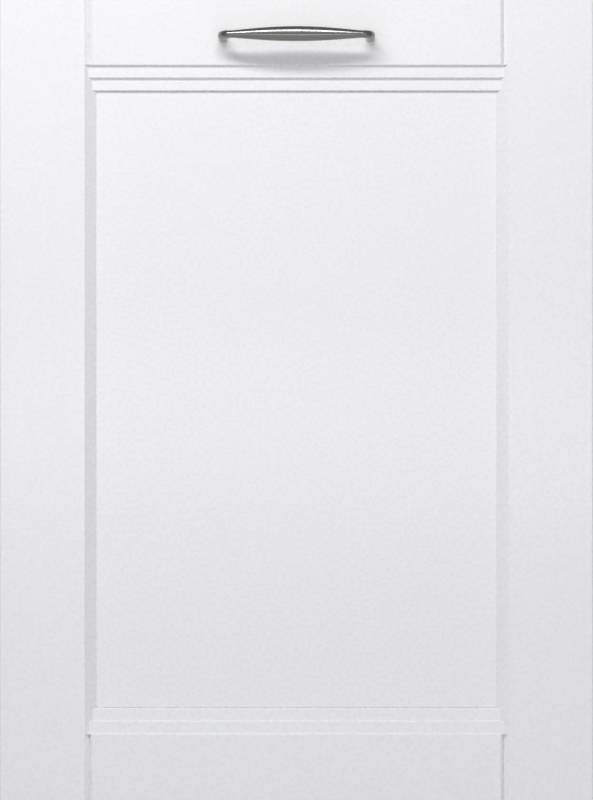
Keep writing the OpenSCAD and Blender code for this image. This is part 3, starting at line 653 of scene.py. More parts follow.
def tray_piece():
    """Cutlery tray: the moulded shell with rows of fingers that hold each piece of cutlery apart."""
    grey = material("grey_pp")
    low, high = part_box("cutlery_tray")
    shell = ease_edges(cad_copy("cutlery_tray"), 0.0009, 2)
    floor = low.z + 0.003
    wall = planes("cutlery_tray", 2)[-1]
    x0, x1 = low.x + 0.024, high.x - 0.024
    y0, y1 = low.y + 0.03, high.y - 0.03
    columns, rows = 22, 9
    places = []
    for i in range(columns + 1):
        for j in range(rows + 1):
            x = x0 + (x1 - x0) * i / columns
            y = y0 + (y1 - y0) * j / rows
            places.append(((x, y, floor - 0.0005), (0, 0, 1)))
    fingers = studs(places, grey, 0.0022, min(0.022, (wall - floor) * 0.6), 0.35)
    mesh = weighted(shell, "tray_shell")
    piece("cutlery_tray_shell", joined(mesh, fingers), grey, BODY_OF["cutlery_tray"], ["cutlery_tray"],
          sharp_deg=45)


# ---------------------------------------------------------------- door front

PANEL = ("panel_left_stile", "panel_right_stile", "panel_top_rail", "panel_bottom_rail", "panel_centre")


def front_pieces(size):
    """The five wooden pieces, with a fine quirk line cut at the foot of each step of the top moulding."""
    wall, sunk = planes("panel_top_rail", 1)[0], planes("panel_centre", 1)[0]
    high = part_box("panel_top_rail")[1].z
    levels = {round(v.co.z, 4) for v in NODES["panel_top_rail"].data.vertices if v.co.z < high - 0.03}
    feet = sorted(levels, reverse=True)[1::2]
    for node in PANEL:
        bm = cad_copy(node)
        if node in ("panel_top_rail", "panel_centre"):
            quirks = bmesh.new()
            for k, foot in enumerate(feet[:3]):
                y = wall + (sunk - wall) * (k + 1) / 3
                box_mesh(quirks, (-0.4, y - 0.001, foot - size.quirk), (0.4, y + size.quirk, foot))
            mesh = cut(to_mesh(bm, node), to_mesh(quirks, "quirks"))
            bm = bmesh.new()
            bm.from_mesh(mesh)
        ease_edges(bm, 0.0011 if "stile" in node else 0.0004, 3)
        piece(node + "_finish", weighted(bm, node), material("white_lacquer"), BODY_OF[node], [node],
              sharp_deg=None)
    handle_piece(size)


def handle_piece(size):
    """A bow bar with elliptical sections, bending through an elbow into a round post at each end."""
    low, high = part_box("handle")
    wall = planes("panel_top_rail", 1)[0]
    z = (low.z + high.z) / 2
    half = (high.x - low.x) / 2 - size.post
    bar_y = low.y + 0.0050
    end_y = bar_y + 0.0030
    path = [(-half, wall + 0.0002, size.post, size.post), (-half, (wall + end_y + size.elbow) / 2, size.post,
                                                           size.post)]
    for k in range(9):
        a = math.radians(90 * k / 8)
        path.append((-half + size.elbow * (1 - math.cos(a)), end_y + size.elbow * (1 - math.sin(a)),
                     size.post + (0.0041 - size.post) * k / 8, size.post + (size.end_height - size.post) * k / 8))
    start = path[-1][0]
    for k in range(1, 24):
        t = k / 24
        x = start * (1 - t)
        rise = math.sin(math.pi / 2 * t)
        path.append((x, end_y + (bar_y - end_y) * (1 - (1 - t) ** 2),
                     0.0041 + 0.0009 * rise, size.end_height + (size.middle_height - size.end_height) * rise))
    path += [(0.0, bar_y, 0.0050, size.middle_height)]
    path += [(-x, y, a, b) for x, y, a, b in reversed(path[:-1])]
    rings = []
    for i, (x, y, a, b) in enumerate(path):
        before, after = path[max(i - 1, 0)], path[min(i + 1, len(path) - 1)]
        along = Vector((after[0] - before[0], after[1] - before[1], 0)).normalized()
        out = Vector((along.y, -along.x, 0))
        rings.append([Vector((x, y, z)) + out * (a * math.cos(t)) + Vector((0, 0, b * math.sin(t)))
                      for t in (2 * math.pi * j / 40 for j in range(40))])
    bm = bmesh.new()
    loft(bm, rings)
    outward_piece(bm, "handle_bow", material("nickel_plate"), "door", ["handle"], sharp_deg=60)


# ---------------------------------------------------------------- inside of the door

def rounded(x0, x1, z0, z1, r, steps=5):
    """A rounded rectangle's points in the x-z plane, in order."""
    points = []
    for cx, cz, a in ((x1 - r, z1 - r, 0), (x0 + r, z1 - r, 90), (x0 + r, z0 + r, 180), (x1 - r, z0 + r, 270)):
        points += arc(cx, cz, r, a, a + 90, steps)
    return points


def panel_rings(bm, levels):
    """Joins rounded rectangles at given depths into a pressed surface. A level is (x0, x1, z0, z1, r, y)."""
    rings = [[Vector((x, y, z)) for x, z in rounded(x0, x1, z0, z1, r)] for x0, x1, z0, z1, r, y in levels]
    return loft(bm, rings, cap=False)


def shrunk(box, by, y, r):
    x0, x1, z0, z1 = box
    return (x0 + by, x1 - by, z0 + by, z1 - by, r, y)


def pressed_door(size):
    """The stainless inner door: folded sides, beads, and a pressed pocket round the dispenser."""
    steel = material("stainless")
    low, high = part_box("door_liner")
    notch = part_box("door_gasket")[0].z - 0.002
    face, wall = high.y, 0.001
    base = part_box("door_bottom_seal")
    field = (low.x, high.x, notch, high.z)
    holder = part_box("dispenser_body")
    pocket = (holder[0].x - 0.004, holder[1].x + 0.004, holder[0].z - 0.004, holder[1].z + 0.004)
    bead = size.bead
    bm = bmesh.new()
    levels = [shrunk(field, 0.0, face - 0.016, 0.003), shrunk(field, 0.0, face - 0.003, 0.003),
              shrunk(field, 0.0009, face - 0.0009, 0.003), shrunk(field, 0.003, face, 0.003),
              shrunk(field, 0.020, face, 0.014), shrunk(field, 0.0215, face - bead * 0.3, 0.013),
              shrunk(field, 0.024, face - bead, 0.012), shrunk(field, 0.032, face - bead, 0.010),
              shrunk(field, 0.0345, face - bead * 0.3, 0.009), shrunk(field, 0.036, face, 0.008)]
    rows = panel_rings(bm, levels)
    hole = shrunk(pocket, 0.0095, face - 0.0005, 0.002)
    inner = panel_rings(bm, [shrunk(pocket, -0.030, face, 0.030),
                             shrunk(pocket, -0.027, face - bead * 0.3, 0.028),
                             shrunk(pocket, -0.023, face - bead, 0.024), shrunk(pocket, -0.014, face - bead,
                                                                                0.016),
                             shrunk(pocket, -0.010, face - bead * 0.3, 0.012), shrunk(pocket, -0.007, face,
                                                                                      0.010),
                             shrunk(pocket, 0.002, face, 0.002), hole])
    bmesh.ops.bridge_loops(bm, edges=[e for e in bm.edges if e.is_boundary and
                                      (set(e.verts) <= set(rows[-1]) or set(e.verts) <= set(inner[0]))])
    bmesh.ops.recalc_face_normals(bm, faces=bm.faces)
    probe = max(bm.faces, key=lambda f: f.calc_area())
    if probe.normal.y < 0:
        bmesh.ops.reverse_faces(bm, faces=bm.faces)
    sheet = thickened(bm, "liner", wall)
    tongue = bmesh.new()
    box_mesh(tongue, (-base[1].x, face - wall, low.z), (base[1].x, face, notch + 0.003))
    ease_edges(tongue, 0.0004, 1)
    both = to_mesh(joined(sheet, to_mesh(tongue, "tongue")), "inner_door")
    piece("inner_door", settled(both, 40), steel, "door", ["door_liner"], sharp_deg=None)


def dispenser_pieces():
    """Detergent and rinse-aid dispenser with its sprung lid and turned cap."""
    grey = material("grey_pp")
    dark = material("dark_abs")
    bm = ease_edges(cad_copy("dispenser_body"), 0.0007, 2)
    low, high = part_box("rinse_aid_cap")
    c, r = middle("rinse_aid_cap"), (high.x - low.x) / 2
    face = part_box("door_liner")[1].y
    turned(bm, [(r + 0.0005, face + 0.0014), (r + 0.0005, face + 0.0028), (r + 0.0025, face + 0.0028),
                (r + 0.0032, face + 0.0014), (r + 0.0005, face + 0.0014)], (c.x, 0, c.z), (0, 1, 0), 48)
    piece("dispenser_moulding", weighted(bm, "dispenser"), grey, "door", ["dispenser_body"], sharp_deg=None)
    bm = ease_edges(cad_copy("dispenser_lid"), 0.0006, 2)
    low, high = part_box("dispenser_lid")
    top = high.y - 0.002
    for k in range(4):
        z = high.z - 0.008 - 0.0035 * k
        box_mesh(bm, ((low.x + high.x) / 2 - 0.022, top - 0.0008, z - 0.0007),
                 ((low.x + high.x) / 2 + 0.022, top + 0.0009, z + 0.0007))
    piece("dispenser_lid_moulding", weighted(bm, "lid"), material("light_pom"), BODY_OF["dispenser_lid"],
          ["dispenser_lid"], sharp_deg=None)
    low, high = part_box("rinse_aid_cap")
    grip = high.y - 0.004
    bm = bmesh.new()
    profile = [(0, low.y), (r - 0.0045, low.y), (r - 0.0045, face + 0.0021), (r - 0.0005, face + 0.0021),
               (r, face + 0.0026),
               (r, grip - 0.0008), (r - 0.001, grip), (r - 0.005, grip - 0.0006), (0, grip - 0.0006)]
    turned(bm, profile, (c.x, 0, c.z), (0, 1, 0), 64)
    bar = bmesh.new()
    box_mesh(bar, (c.x - r + 0.003, grip - 0.001, c.z - 0.002), (c.x + r - 0.003, high.y, c.z + 0.002))
    ease_edges(bar, 0.0008, 3)
    bmesh.ops.recalc_face_normals(bm, faces=bm.faces)
    piece("rinse_aid_knob", joined(to_mesh(bm, "cap"), to_mesh(bar, "bar")), dark, BODY_OF["rinse_aid_cap"],
          ["rinse_aid_cap"], sharp_deg=35)


def door_pieces(size):
    pressed_door(size)
    dispenser_pieces()


# ---------------------------------------------------------------- tub and cabinet

def cut(mesh, cutter):
    """The mesh with the cutter's volume taken away."""
    obj, tool = linked("cut", mesh), linked("cutter", cutter)
    modifier = obj.modifiers.new("Cut", "BOOLEAN")
    modifier.object = tool
    modifier.solver = "EXACT"
    made = baked(obj)
    bpy.data.objects.remove(tool)
    return made


def thickened(bm, name, thickness):
    """A sheet given its thickness, on the side its normals point away from."""
    obj = linked(name, to_mesh(bm, name))
    modifier = obj.modifiers.new("Sheet", "SOLIDIFY")
    modifier.thickness = thickness
    modifier.offset = -1
    return baked(obj)


def tub_section(half, top, ledge, floor, step, corner, inset=0.0):
    """The tub's cross-section seen from the front, clockwise from the middle of the floor."""
    right = [(0.0, floor), (step * 0.5, floor), (step - 0.008, floor), (step, ledge), (half - 0.010, ledge)]
    right += arc(half - 0.010, ledge + 0.010, 0.010, -90, 0, 4)[1:]
    for k in range(1, 6):
        right.append((half, ledge + 0.010 + (top - corner - ledge - 0.010) * k / 6))
    right += arc(half - corner, top - corner, corner, 0, 90, 8)
    right += [(half * 0.5, top), (0.0, top)]
    points = right + [(-x, z) for x, z in reversed(right[1:-1])]
    mid = (ledge + top) / 2
    sx, sz = (half - inset) / half, ((top - floor) / 2 - inset) / ((top - floor) / 2)
    return [(x * sx, mid + (z - mid) * sz) for x, z in points]


def tub_pieces():
    steel = material("stainless")
    low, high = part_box("tub")
    wall = 0.0012
    frame_half = planes("tub", 0)[-1]
    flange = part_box("door_gasket")[1].y
    back = planes("tub", 1)[-1] - wall
    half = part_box("rack_rails")[1].x
    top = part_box("door_gasket")[1].z - 0.0105
    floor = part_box("fine_filter")[0].z
    ledge = floor + 0.010
    step = half - 0.040
    corner, top_gap = 0.016, 0.0004
    rings = []

    def ring(y, recess=0.0, inset=0.0):
        return [Vector((x, y, z)) for x, z in
                tub_section(half, top, ledge, ledge - recess, step, corner, inset)]

    inner = ring(flange)
    outer = []
    for p in inner:
        if p.z <= ledge + 0.012:
            outer.append(Vector((p.x, low.y, p.z)))
        else:
            x = max(-frame_half, min(frame_half, p.x * 1.09)) if abs(p.x) > half - corner - 0.001 else p.x
            z = p.z + (high.z - top_gap - top) * max(0.0, min(1.0, (p.z - (top - corner)) / corner))
            outer.append(Vector((x, flange, z)))
    rings.append(outer)
    rings.append([p.copy() for p in inner])
    rings.append([Vector((p.x, flange + 0.003, p.z)) for p in inner])
    rings.append([Vector((p.x, flange + 0.008, p.z)) for p in inner])
    for t in (0.0, 0.5, 1.0):
        rings.append(ring(flange + 0.014 + 0.012 * t, 0.010 * t))
    for k in range(1, 6):
        rings.append(ring(flange + 0.026 + (back - corner - flange - 0.026) * k / 5, 0.010))
    for k in range(1, 7):
        a = math.radians(90 * k / 6)
        rings.append(ring(back - corner + corner * math.sin(a), 0.010, corner * (1 - math.cos(a))))
    bm = bmesh.new()
    rows = loft(bm, rings, cap=False)
    bm.faces.new(rows[-1])
    bmesh.ops.recalc_face_normals(bm, faces=bm.faces)
    probe = max(bm.faces, key=lambda f: f.calc_center_median().z)
    if probe.normal.z > 0:
        bmesh.ops.reverse_faces(bm, faces=bm.faces)
    mesh = thickened(bm, "tub_shell", wall * 0.9)
    well = middle("sump")
    radius = 0.117
    hole = bmesh.new()
    bmesh.ops.create_cone(hole, cap_ends=True, segments=96, radius1=radius, radius2=radius, depth=0.04,
                          matrix=Matrix.Translation((well.x, well.y, floor)))
    mesh = cut(mesh, to_mesh(hole, "well"))
    piece("tub_shell", settled(mesh, 35), steel, "cabinet", ["tub"], sharp_deg=None)


# ---------------------------------------------------------------- wash system

def ribbed(radius, length, count, depth=0.0012, start=0.0):
    """A lathe profile with shallow ribs, for a moulded or finned housing."""
    profile = [(0, start), (radius - 0.002, start), (radius, start + 0.002)]
    pitch = (length - 0.008) / count
    for k in range(count):
        z = start + 0.004 + pitch * k
        profile += [(radius, z), (radius, z + pitch * 0.4), (radius - depth, z + pitch * 0.5),
                    (radius - depth, z + pitch * 0.9)]
    return profile + [(radius, start + length - 0.002), (radius - 0.002, start + length), (0, start + length)]


def spray_arm(node, finish):
    """A spray arm: two tapered wings from a round hub, with five nozzles along each."""
    low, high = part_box(node)
    c = (low + high) / 2
    reach, thick = (high.x - low.x) / 2, high.z - low.z
    hub = (high.y - low.y) / 2
    wing = hub - 0.009
    bm = bmesh.new()
    for side in (1, -1):
        rings = []
        stations = 18
        for i in range(stations + 1):
            t = i / stations
            x = side * (0.012 + (reach - 0.012) * t)
            if t < 0.94:
                half_w = wing * (1.12 - 0.24 * t)
            else:
                half_w = wing * (1.12 - 0.24 * t) * math.sqrt(max(0.02, 1 - ((t - 0.94) / 0.062) ** 2))
            half_h = thick / 2 * (1.0 - 0.28 * t) * (1.0 if t < 0.94 else math.sqrt(
                max(0.05, 1 - ((t - 0.94) / 0.066) ** 2)))
            twist = math.radians(4) * side
            ring = []
            for k in range(24):
                a = 2 * math.pi * k / 24
                u = math.copysign(abs(math.cos(a)) ** 0.7, math.cos(a)) * half_w
                v = math.copysign(abs(math.sin(a)) ** 0.8, math.sin(a)) * half_h
                ring.append(Vector((c.x + x, c.y + u * math.cos(twist), c.z + v)))
            rings.append(ring)
        loft(bm, rings)
    bore = 0.0092
    turned(bm, [(bore, -thick / 2 - 0.0004), (hub - 0.006, -thick / 2 - 0.0004),
                (hub - 0.001, -thick / 2 + 0.003),
                (hub, -thick / 2 + 0.006), (hub, thick / 2 - 0.006), (hub - 0.0015, thick / 2 - 0.002),
                (hub - 0.007, thick / 2), (bore + 0.003, thick / 2), (bore, thick / 2 - 0.001),
                (bore, -thick / 2 - 0.0004)], c, (0, 0, 1), 56)
    bmesh.ops.recalc_face_normals(bm, faces=bm.faces)
    shell = to_mesh(bm, node)
    places = []
    for side in (1, -1):
        for k in range(5):
            x = side * (hub + 0.012 + (reach - hub - 0.034) * k / 4)
            sway = 0.006 * (1 if (k + (side > 0)) % 2 else -1)
            lift = thick / 2 * (1 - 0.28 * abs(x) / reach) - 0.0012
            places.append(((c.x + x, c.y + sway, c.z + lift), (0.25 * side, 0.0, 1.0)))
    nozzles = studs(places, finish, 0.0044, 0.0030, 0.55)
    piece(node + "_moulding", joined(shell, nozzles), finish, BODY_OF[node], [node], sharp_deg=50)


def feed_tube(grey):
    """Feed tube up the back of the tub and forward to the top spray head."""
    boxes = parts_of("water_pipe")
    upright = max(boxes, key=lambda b: b[1].z - b[0].z)
    c = (upright[0] + upright[1]) / 2
    r = (upright[1].x - upright[0].x) / 2
    runs = sorted((b for b in boxes if (b[1] - b[0]).y > 0.05), key=lambda b: b[0].z)
    low_run, top_run = runs[0], runs[-1]
    z0, z1 = (low_run[0].z + low_run[1].z) / 2, (top_run[0].z + top_run[1].z) / 2
    path = [([(c.x, low_run[0].y, z0), (c.x, c.y, z0), (c.x, c.y, z1), (c.x, top_run[0].y, z1)], False)]
    tube = wires(path, r, r * 2.0, grey, 28)
    riser = min(boxes, key=lambda b: (b[1] - b[0]).length)
    rc, rr = (riser[0] + riser[1]) / 2, (riser[1].x - riser[0].x) / 2
    h = (riser[1].z - riser[0].z) / 2
    bm = joined(tube)
    turned(bm, [(0, -h), (rr - 0.001, -h), (rr, -h + 0.001), (rr, h - 0.004), (rr - 0.004, h), (0, h)], rc,
           (0, 0, 1), 40)
    for t in (0.18, 0.5, 0.82):
        z = z0 + (z1 - z0) * t
        turned(bm, [(r - 0.0005, -0.006), (r + 0.0018, -0.006), (r + 0.0018, 0.006), (r - 0.0005, 0.006),
                    (r - 0.0005, -0.006)], (c.x, c.y, z), (0, 0, 1), 32)
    outward_piece(bm, "water_tube", grey, "cabinet", ["water_pipe"], sharp_deg=40)


def top_head(grey):
    """Top spray head: a shallow turned dome with a ring of nozzles."""
    low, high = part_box("top_spray_head")
    c = (low + high) / 2
    r, t = (high.x - low.x) / 2, high.z - low.z
    bore = 0.016
    bm = bmesh.new()
    turned(bm, [(bore, t / 2), (r - 0.006, t / 2), (r, t / 2 - 0.004), (r - 0.001, t / 2 - 0.008),
                (r * 0.72, -t / 2 + 0.004),
                (r * 0.5, -t / 2 + 0.001), (0, -t / 2), (0, 0.001), (bore, 0.001), (bore, t / 2)], c, (0, 0,
                                                                                                       1), 64)
    bmesh.ops.recalc_face_normals(bm, faces=bm.faces)
    places = [((c.x + r * 0.58 * math.cos(a), c.y + r * 0.58 * math.sin(a), c.z - t / 2 + 0.0022),
               (0.2 * math.cos(a), 0.2 * math.sin(a), -1)) for a in (2 * math.pi * k / 8 for k in range(8))]
    piece("top_spray_head_moulding", joined(to_mesh(bm, "head"), studs(places, grey, 0.0034, 0.0024, 0.6)),
          grey,
          BODY_OF["top_spray_head"], ["top_spray_head"], sharp_deg=40)


def upper_feed(grey):
    """Feed tube and bearing under the upper rack."""
    boxes = parts_of("upper_manifold")
    run = max(boxes, key=lambda b: b[1].y - b[0].y)
    hub = max(boxes, key=lambda b: b[1].x - b[0].x if (b[1] - b[0]).y < 0.1 else 0)
    c, r = (run[0] + run[1]) / 2, (run[1].x - run[0].x) / 2
    hc, hr = (hub[0] + hub[1]) / 2, (hub[1].x - hub[0].x) / 2
    bm = joined(wires([([(c.x, run[0].y - 0.008, c.z), (c.x, run[1].y, c.z)], False)], r, 0.0, grey, 28))
    turned(bm, [(0, hub[0].z), (0.0088, hub[0].z), (0.0088, hub[0].z + 0.0205), (hr - 0.001, hub[0].z + 0.0232),
                (hr, hub[0].z + 0.025), (hr, hub[1].z - 0.003), (hr - 0.003, hub[1].z), (0, hub[1].z)],
           (hc.x, hc.y, 0), (0, 0, 1), 40)
    turned(bm, [(r - 0.0005, -0.004), (r + 0.002, -0.004), (r + 0.002, 0.004), (r - 0.0005, 0.004),
                (r - 0.0005, -0.004)], (c.x, run[1].y - 0.012, c.z), (0, 1, 0), 32)
    outward_piece(bm, "upper_feed", grey, BODY_OF["upper_manifold"], ["upper_manifold"], sharp_deg=40)


def pumps_and_heater(dark, bright):
    """Pumps and heater, lying along x in the base."""
    low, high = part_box("heater")
    r = (high.z - low.z) / 2
    c = middle("heater")
    bm = bmesh.new()
    turned(bm, [(0, low.x), (r * 0.5, low.x), (r * 0.5, low.x + 0.012), (r * 0.62, low.x + 0.014),
                (r - 0.004, low.x + 0.014),
                (r, low.x + 0.018), (r, high.x - 0.004), (r - 0.0015, high.x - 0.002), (r - 0.0015,
                                                                                        high.x), (0, high.x)],
           (0, c.y, c.z), (1, 0, 0), 64)
    piece("flow_heater", bm, bright, "cabinet", ["heater"], sharp_deg=35)
    for node in ("circulation_pump", "drain_pump"):
        low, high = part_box(node)
        c = middle(node)
        bm = bmesh.new()
        if node == "circulation_pump":
            r = (high.z - low.z) / 2
            turned(bm, [(0, 0), (r - 0.002, 0), (r, 0.002), (r, 0.010), (r - 0.002, 0.012), (0, 0.012)],
                   (low.x, c.y, c.z), (1, 0, 0), 64)
            turned(bm, ribbed(r - 0.005, high.x - low.x - 0.012, 9), (low.x + 0.012, c.y, c.z), (1, 0, 0), 64)
        else:
            boxes = parts_of(node)
            z = c.z
            y = min(b[0].y for b in boxes)
            big = (high.z - low.z) / 2
            cy = y + big
            turned(bm, ribbed(big, 0.064, 6), (low.x, cy, z), (1, 0, 0), 64)
            turned(bm, [(0, 0), (0.020, 0), (0.020, 0.014), (0.018, 0.016), (0, 0.016)],
                   (low.x + 0.064, cy, z), (1, 0, 0), 48)
            spigot = [(0, -0.045), (0.013, -0.045), (0.013, -0.036), (0.010, -0.036)]
            for k in range(3):
                spigot += [(0.010, -0.030 + 0.009 * k), (0.0108, -0.0295 + 0.009 * k),
                           (0.0098, -0.025 + 0.009 * k)]
            turned(bm, spigot + [(0.0095, -0.0005), (0.0075, 0.0), (0.0075, -0.02), (0, -0.02)],
                   (low.x + 0.050, high.y, z), (0, 1, 0), 40)
        outward_piece(bm, node + "_housing", dark, "cabinet", [node], sharp_deg=35)


def sump_bowl(grey):
    """Sump bowl with its hub and outer ribs."""
    low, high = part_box("sump")
    r = (high.x - low.x) / 2
    c = middle("sump")
    h = high.z - low.z
    hub_r = 0.020
    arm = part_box("lower_spray_arm")
    hub_y = (arm[0].y + arm[1].y) / 2
    bm = bmesh.new()
    turned(bm, [(0, 0), (r - 0.028, 0), (r - 0.014, 0.006), (r - 0.008, 0.020), (r - 0.008, h - 0.003),
                (r, h - 0.003),
                (r, h), (r - 0.011, h), (r - 0.011, 0.021), (r - 0.017, 0.009), (r - 0.029, 0.003), (0, 0.003)],
           (c.x, c.y, low.z), (0, 0, 1), 80)
    turned(bm, [(hub_r - 0.006, h), (hub_r - 0.006, 0.010), (0, 0.010), (0, 0.002), (hub_r, 0.002),
                (hub_r, h), (hub_r - 0.006, h)],
           (c.x, hub_y, low.z), (0, 0, 1), 40)
    for k in range(12):
        a = 2 * math.pi * k / 12
        rib = box_mesh(bm, (r - 0.0085, -0.001, 0.012), (r - 0.0015, 0.001, h - 0.0025))
        bmesh.ops.transform(bm, matrix=Matrix.Translation((c.x, c.y, low.z)) @ Matrix.Rotation(a, 4, "Z"),
                            verts=rib)
    piece("sump_bowl", bm, grey, "cabinet", ["sump"], sharp_deg=35)


def float_cap(grey):
    """Float: a domed cap."""
    low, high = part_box("float_bell")
    c, r, h = middle("float_bell"), (high.x - low.x) / 2, high.z - low.z
    bm = bmesh.new()
    turned(bm, [(0, -h / 2), (r, -h / 2), (r, h / 2 - 0.006)] + arc(r - 0.006, h / 2 - 0.006, 0.006, 0, 90,
                                                                    6)[1:]
           + [(r * 0.4, h / 2 + 0.0006), (0, h / 2 + 0.0006)], c, (0, 0, 1), 48)
    outward_piece(bm, "float_cap", grey, BODY_OF["float_bell"], ["float_bell"], sharp_deg=50)


def levelling_feet(grey):
    """Levelling feet: a round pad and the grooved stud."""
    for node in FEET:
        low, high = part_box(node)
        c, r, h = middle(node), (high.x - low.x) / 2, high.z - low.z
        stud = 0.005
        profile = [(0, 0), (r - 0.002, 0), (r, 0.002), (r, 0.004), (r - 0.003, 0.007), (stud + 0.003, 0.0078),
                   (stud - 0.0006, 0.009)]
        turns = int((h - 0.010) / 0.0015)
        for k in range(turns):
            z = 0.009 + (h - 0.010) * k / turns
            profile += [(stud - 0.0007, z), (stud, z + 0.0007)]
        profile += [(stud - 0.0009, h), (0, h)]
        bm = bmesh.new()
        turned(bm, profile, (c.x, c.y, low.z), (0, 0, 1), 36)
        outward_piece(bm, node + "_turned", grey, BODY_OF[node], [node], sharp_deg=25)


def door_springs(bright):
    """Door springs: a close-wound coil on a straight rod, each side."""
    meshes = []
    for low, high in parts_of("door_springs"):
        c = (low + high) / 2
        r = (high.x - low.x) / 2
        turn = Matrix.Translation((c.x, low.y + 0.018, c.z)) @ Matrix.Rotation(math.radians(-90), 4, "X")
        seed = bpy.data.meshes.new("seed")
        meshes.append(grown(coil_group, bright, seed, {"Turns": 62.0, "Radius": r - 0.0011, "Length": 0.140,
                                                        "Wire": 0.00105}, turn))
        rod = [([(c.x, low.y, c.z), (c.x, high.y, c.z)], False)]
        meshes.append(wires(rod, 0.0015, 0.0, bright, 12))
    piece("door_spring_coils", joined(*meshes), bright, "cabinet", ["door_springs"], sharp_deg=50)


def water_pieces():
    grey = material("grey_pp")
    dark = material("dark_abs")
    bright = material("bright_stainless")
    spray_arm("lower_spray_arm", grey)
    spray_arm("upper_spray_arm", grey)
    feed_tube(grey)
    top_head(grey)
    upper_feed(grey)
    pumps_and_heater(dark, bright)
    sump_bowl(grey)
    float_cap(grey)
    levelling_feet(grey)
    door_springs(bright)


# ---------------------------------------------------------------- other parts

GENERIC = {
    "white_lacquered_wood": "white_lacquer", "brushed_nickel": "nickel_plate", "stainless_steel": "stainless",
    "galvanised_steel": "galvanised", "coated_wire": "nylon_wire", "dark_plastic": "dark_abs",
    "base_plastic": "base_pp", "grey_plastic": "grey_pp", "blue_mesh_plastic": "blue_pp",
    "circuit_board": "solder_mask", "clear_window": "smoked_acrylic", "seal_rubber": "epdm",
    "damping_felt": "felt", "black_steel": "powder_coat",
}


CUSTOM = PANEL + WHEELS + FEET + (
    "handle", "lower_rack", "upper_rack", "fold_down_tines", "rack_rails", "rail_slides", "cutlery_tray", "tub",
    "lower_spray_arm", "upper_spray_arm", "water_pipe", "top_spray_head", "upper_manifold", "heater",
    "circulation_pump", "drain_pump", "sump", "float_bell", "door_springs", "door_liner", "dispenser_body",
    "dispenser_lid", "rinse_aid_cap")


def rest_pieces():
    for node in NODES:
        if node not in CUSTOM:
            softened(node, 0.0006, material(GENERIC[SLOT_OF[node]]))


# ---------------------------------------------------------------- stage

def stage_pieces(size):
    """Pale flat floor, soft lights, and the camera square to the door."""
    front = planes("panel_centre", 1)[0]
    reach = 30.0
    mesh = bpy.data.meshes.new("studio_floor")
    mesh.from_pydata([(-reach, -reach, 0), (reach, -reach, 0), (reach, reach, 0), (-reach, reach, 0)], [],
                     [(0, 1, 2, 3)])
    floor = linked("studio_floor", mesh)
    paper = bpy.data.materials.new("studio_paper")
    paper.use_nodes = True
    paper.node_tree.nodes["Principled BSDF"].inputs["Base Color"].default_value = linear("#E9EAEC")
    paper.node_tree.nodes["Principled BSDF"].inputs["Roughness"].default_value = 0.8
    mesh.materials.append(paper)
    target = Vector((0, front, 0.75))
    for name, place, watts, width, height in (
            ("strip_light", (-0.28, -1.5, 1.76), 17.2, 1.4, 0.22),
            ("left_edge_strip", (-1.7, -2.3, 1.25), 2.6, 0.12, 1.75),
            ("right_edge_strip", (1.7, -2.3, 1.25), 1.3, 0.12, 1.75),
            ("front_fill", (0.0, -3.2, 0.9), 6.0, 4.0, 2.4),
            ("low_fill", (0.0, -2.4, 0.42), 4.6, 3.0, 0.3),
            ("back_light", (0.9, 1.9, 2.3), 16, 1.6, 1.2)):
        light = bpy.data.lights.new(name, "AREA")
        light.shape = "RECTANGLE"
        light.energy = watts
        light.size, light.size_y = width, height
        lamp = linked(name, light)
        lamp.location = place
        aim = target if place[2] > 1.3 else Vector((0, front, place[2]))
        lamp.rotation_euler = (aim - Vector(place)).to_track_quat("-Z", "Y").to_euler()
    world = bpy.data.worlds.new("studio_sky")
    bpy.context.scene.world = world
    world.use_nodes = True
    world.node_tree.nodes["Background"].inputs["Color"].default_value = linear("#FBFBFC")
    world.node_tree.nodes["Background"].inputs["Strength"].default_value = size.sky
    camera = bpy.data.cameras.new("camera")
    camera.sensor_fit = "HORIZONTAL"
    camera.sensor_width = 36
    camera.lens = 36 * size.distance / size.view_width
    eye = linked("camera", camera)
    eye.location = (0, front - size.distance, size.eye_height)
    eye.rotation_euler = (math.radians(90), 0, 0)
    bpy.context.scene.camera = eye
    bpy.context.scene.view_settings.view_transform = "Standard"


# ---------------------------------------------------------------- add-on

def length(name, description, default):
    return FloatProperty(name=name, description=description, default=default, unit="LENGTH", subtype="DISTANCE")


class StageSize(PropertyGroup):
    eye_height: length("Eye height", "Height of the camera above the floor", 0.4655)
    distance: length("Distance", "From the camera to the door front", 2.7)
    view_width: length("View width", "Width seen at the door front", 0.598)
    sky: FloatProperty(name="Sky", description="Brightness of the surrounding sky", default=0.32)


class HandleSize(PropertyGroup):
    quirk: length("Quirk", "Height and depth of the fine line under each step", 0.0016)
    middle_height: length("Middle height", "Half height of the bar at its middle", 0.0075)
    end_height: length("End height", "Half height of the bar at its ends", 0.0037)
    post: length("Post radius", "Radius of the two posts", 0.0046)
    elbow: length("Elbow radius", "Bend from each post into the bar", 0.0095)


class DoorSize(PropertyGroup):
    bead: length("Bead depth", "Depth of the beads pressed into the inner door", 0.0028)


class RackSize(PropertyGroup):
    corner: length("Rim corner", "Corner radius of the rim wires", 0.022)
    bend: length("Wire bend", "Bend of the floor wires into the sides", 0.012)


class DISHWASHER_OT_front(Operator):
    """Door front: five lacquered panel pieces and the bow handle"""
    bl_idname = "dishwasher.front"
    bl_label = "Door front"

    def execute(self, context):
        front_pieces(context.scene.dishwasher_handle)
        return {"FINISHED"}


class DISHWASHER_OT_door(Operator):
    """Pressed inner door and the dispenser"""
    bl_idname = "dishwasher.door"
    bl_label = "Inner door"

    def execute(self, context):
        door_pieces(context.scene.dishwasher_door)
        return {"FINISHED"}


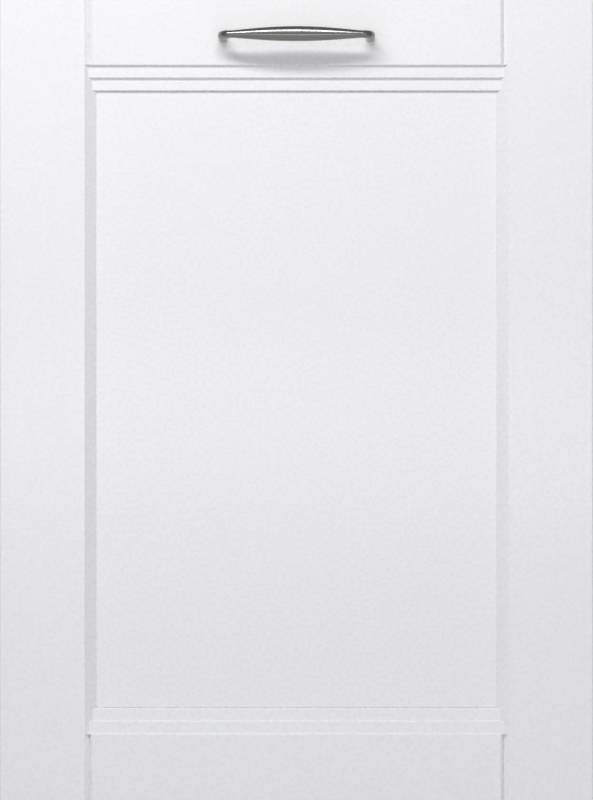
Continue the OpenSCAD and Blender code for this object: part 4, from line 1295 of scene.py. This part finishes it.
class DISHWASHER_OT_racks(Operator):
    """Wire baskets, tines, wheels, telescopic rails and the cutlery tray"""
    bl_idname = "dishwasher.racks"
    bl_label = "Racks"

    def execute(self, context):
        rack_pieces(context.scene.dishwasher_rack)
        return {"FINISHED"}


class DISHWASHER_OT_tub(Operator):
    """Stainless tub"""
    bl_idname = "dishwasher.tub"
    bl_label = "Tub"

    def execute(self, context):
        tub_pieces()
        return {"FINISHED"}


class DISHWASHER_OT_water(Operator):
    """Spray arms, feed tubes, pumps, sump, float, feet and springs"""
    bl_idname = "dishwasher.water"
    bl_label = "Wash system"

    def execute(self, context):
        water_pieces()
        return {"FINISHED"}


class DISHWASHER_OT_rest(Operator):
    """The other parts: their frame shapes with eased edges"""
    bl_idname = "dishwasher.rest"
    bl_label = "Other parts"

    def execute(self, context):
        rest_pieces()
        return {"FINISHED"}


class DISHWASHER_OT_stage(Operator):
    """Floor, lights and camera"""
    bl_idname = "dishwasher.stage"
    bl_label = "Stage"

    def execute(self, context):
        stage_pieces(context.scene.dishwasher_stage)
        return {"FINISHED"}


class DISHWASHER_PT_build(Panel):
    """Sizes and build buttons"""
    bl_label = "Dishwasher"
    bl_idname = "DISHWASHER_PT_build"
    bl_space_type = "VIEW_3D"
    bl_region_type = "UI"
    bl_category = "Dishwasher"

    def draw(self, context):
        layout = self.layout
        for key in SIZES:
            group = getattr(context.scene, key)
            box = layout.box()
            for name in group.__annotations__:
                box.prop(group, name)
        for cls in BUILDERS:
            layout.operator(cls.bl_idname)


SIZES = {"dishwasher_stage": StageSize, "dishwasher_handle": HandleSize, "dishwasher_door": DoorSize,
         "dishwasher_rack": RackSize}
BUILDERS = (DISHWASHER_OT_front, DISHWASHER_OT_door, DISHWASHER_OT_racks, DISHWASHER_OT_tub,
            DISHWASHER_OT_water,
            DISHWASHER_OT_rest, DISHWASHER_OT_stage)
CLASSES = tuple(SIZES.values()) + BUILDERS + (DISHWASHER_PT_build,)


def register():
    for cls in CLASSES:
        bpy.utils.register_class(cls)
    for key, group in SIZES.items():
        setattr(bpy.types.Scene, key, PointerProperty(type=group))


def unregister():
    for key in SIZES:
        delattr(bpy.types.Scene, key)
    for cls in reversed(CLASSES):
        bpy.utils.unregister_class(cls)


def main():
    register()
    for cls in BUILDERS:
        group, name = cls.bl_idname.split(".")
        getattr(getattr(bpy.ops, group), name)()


if __name__ == "__main__":
    main()
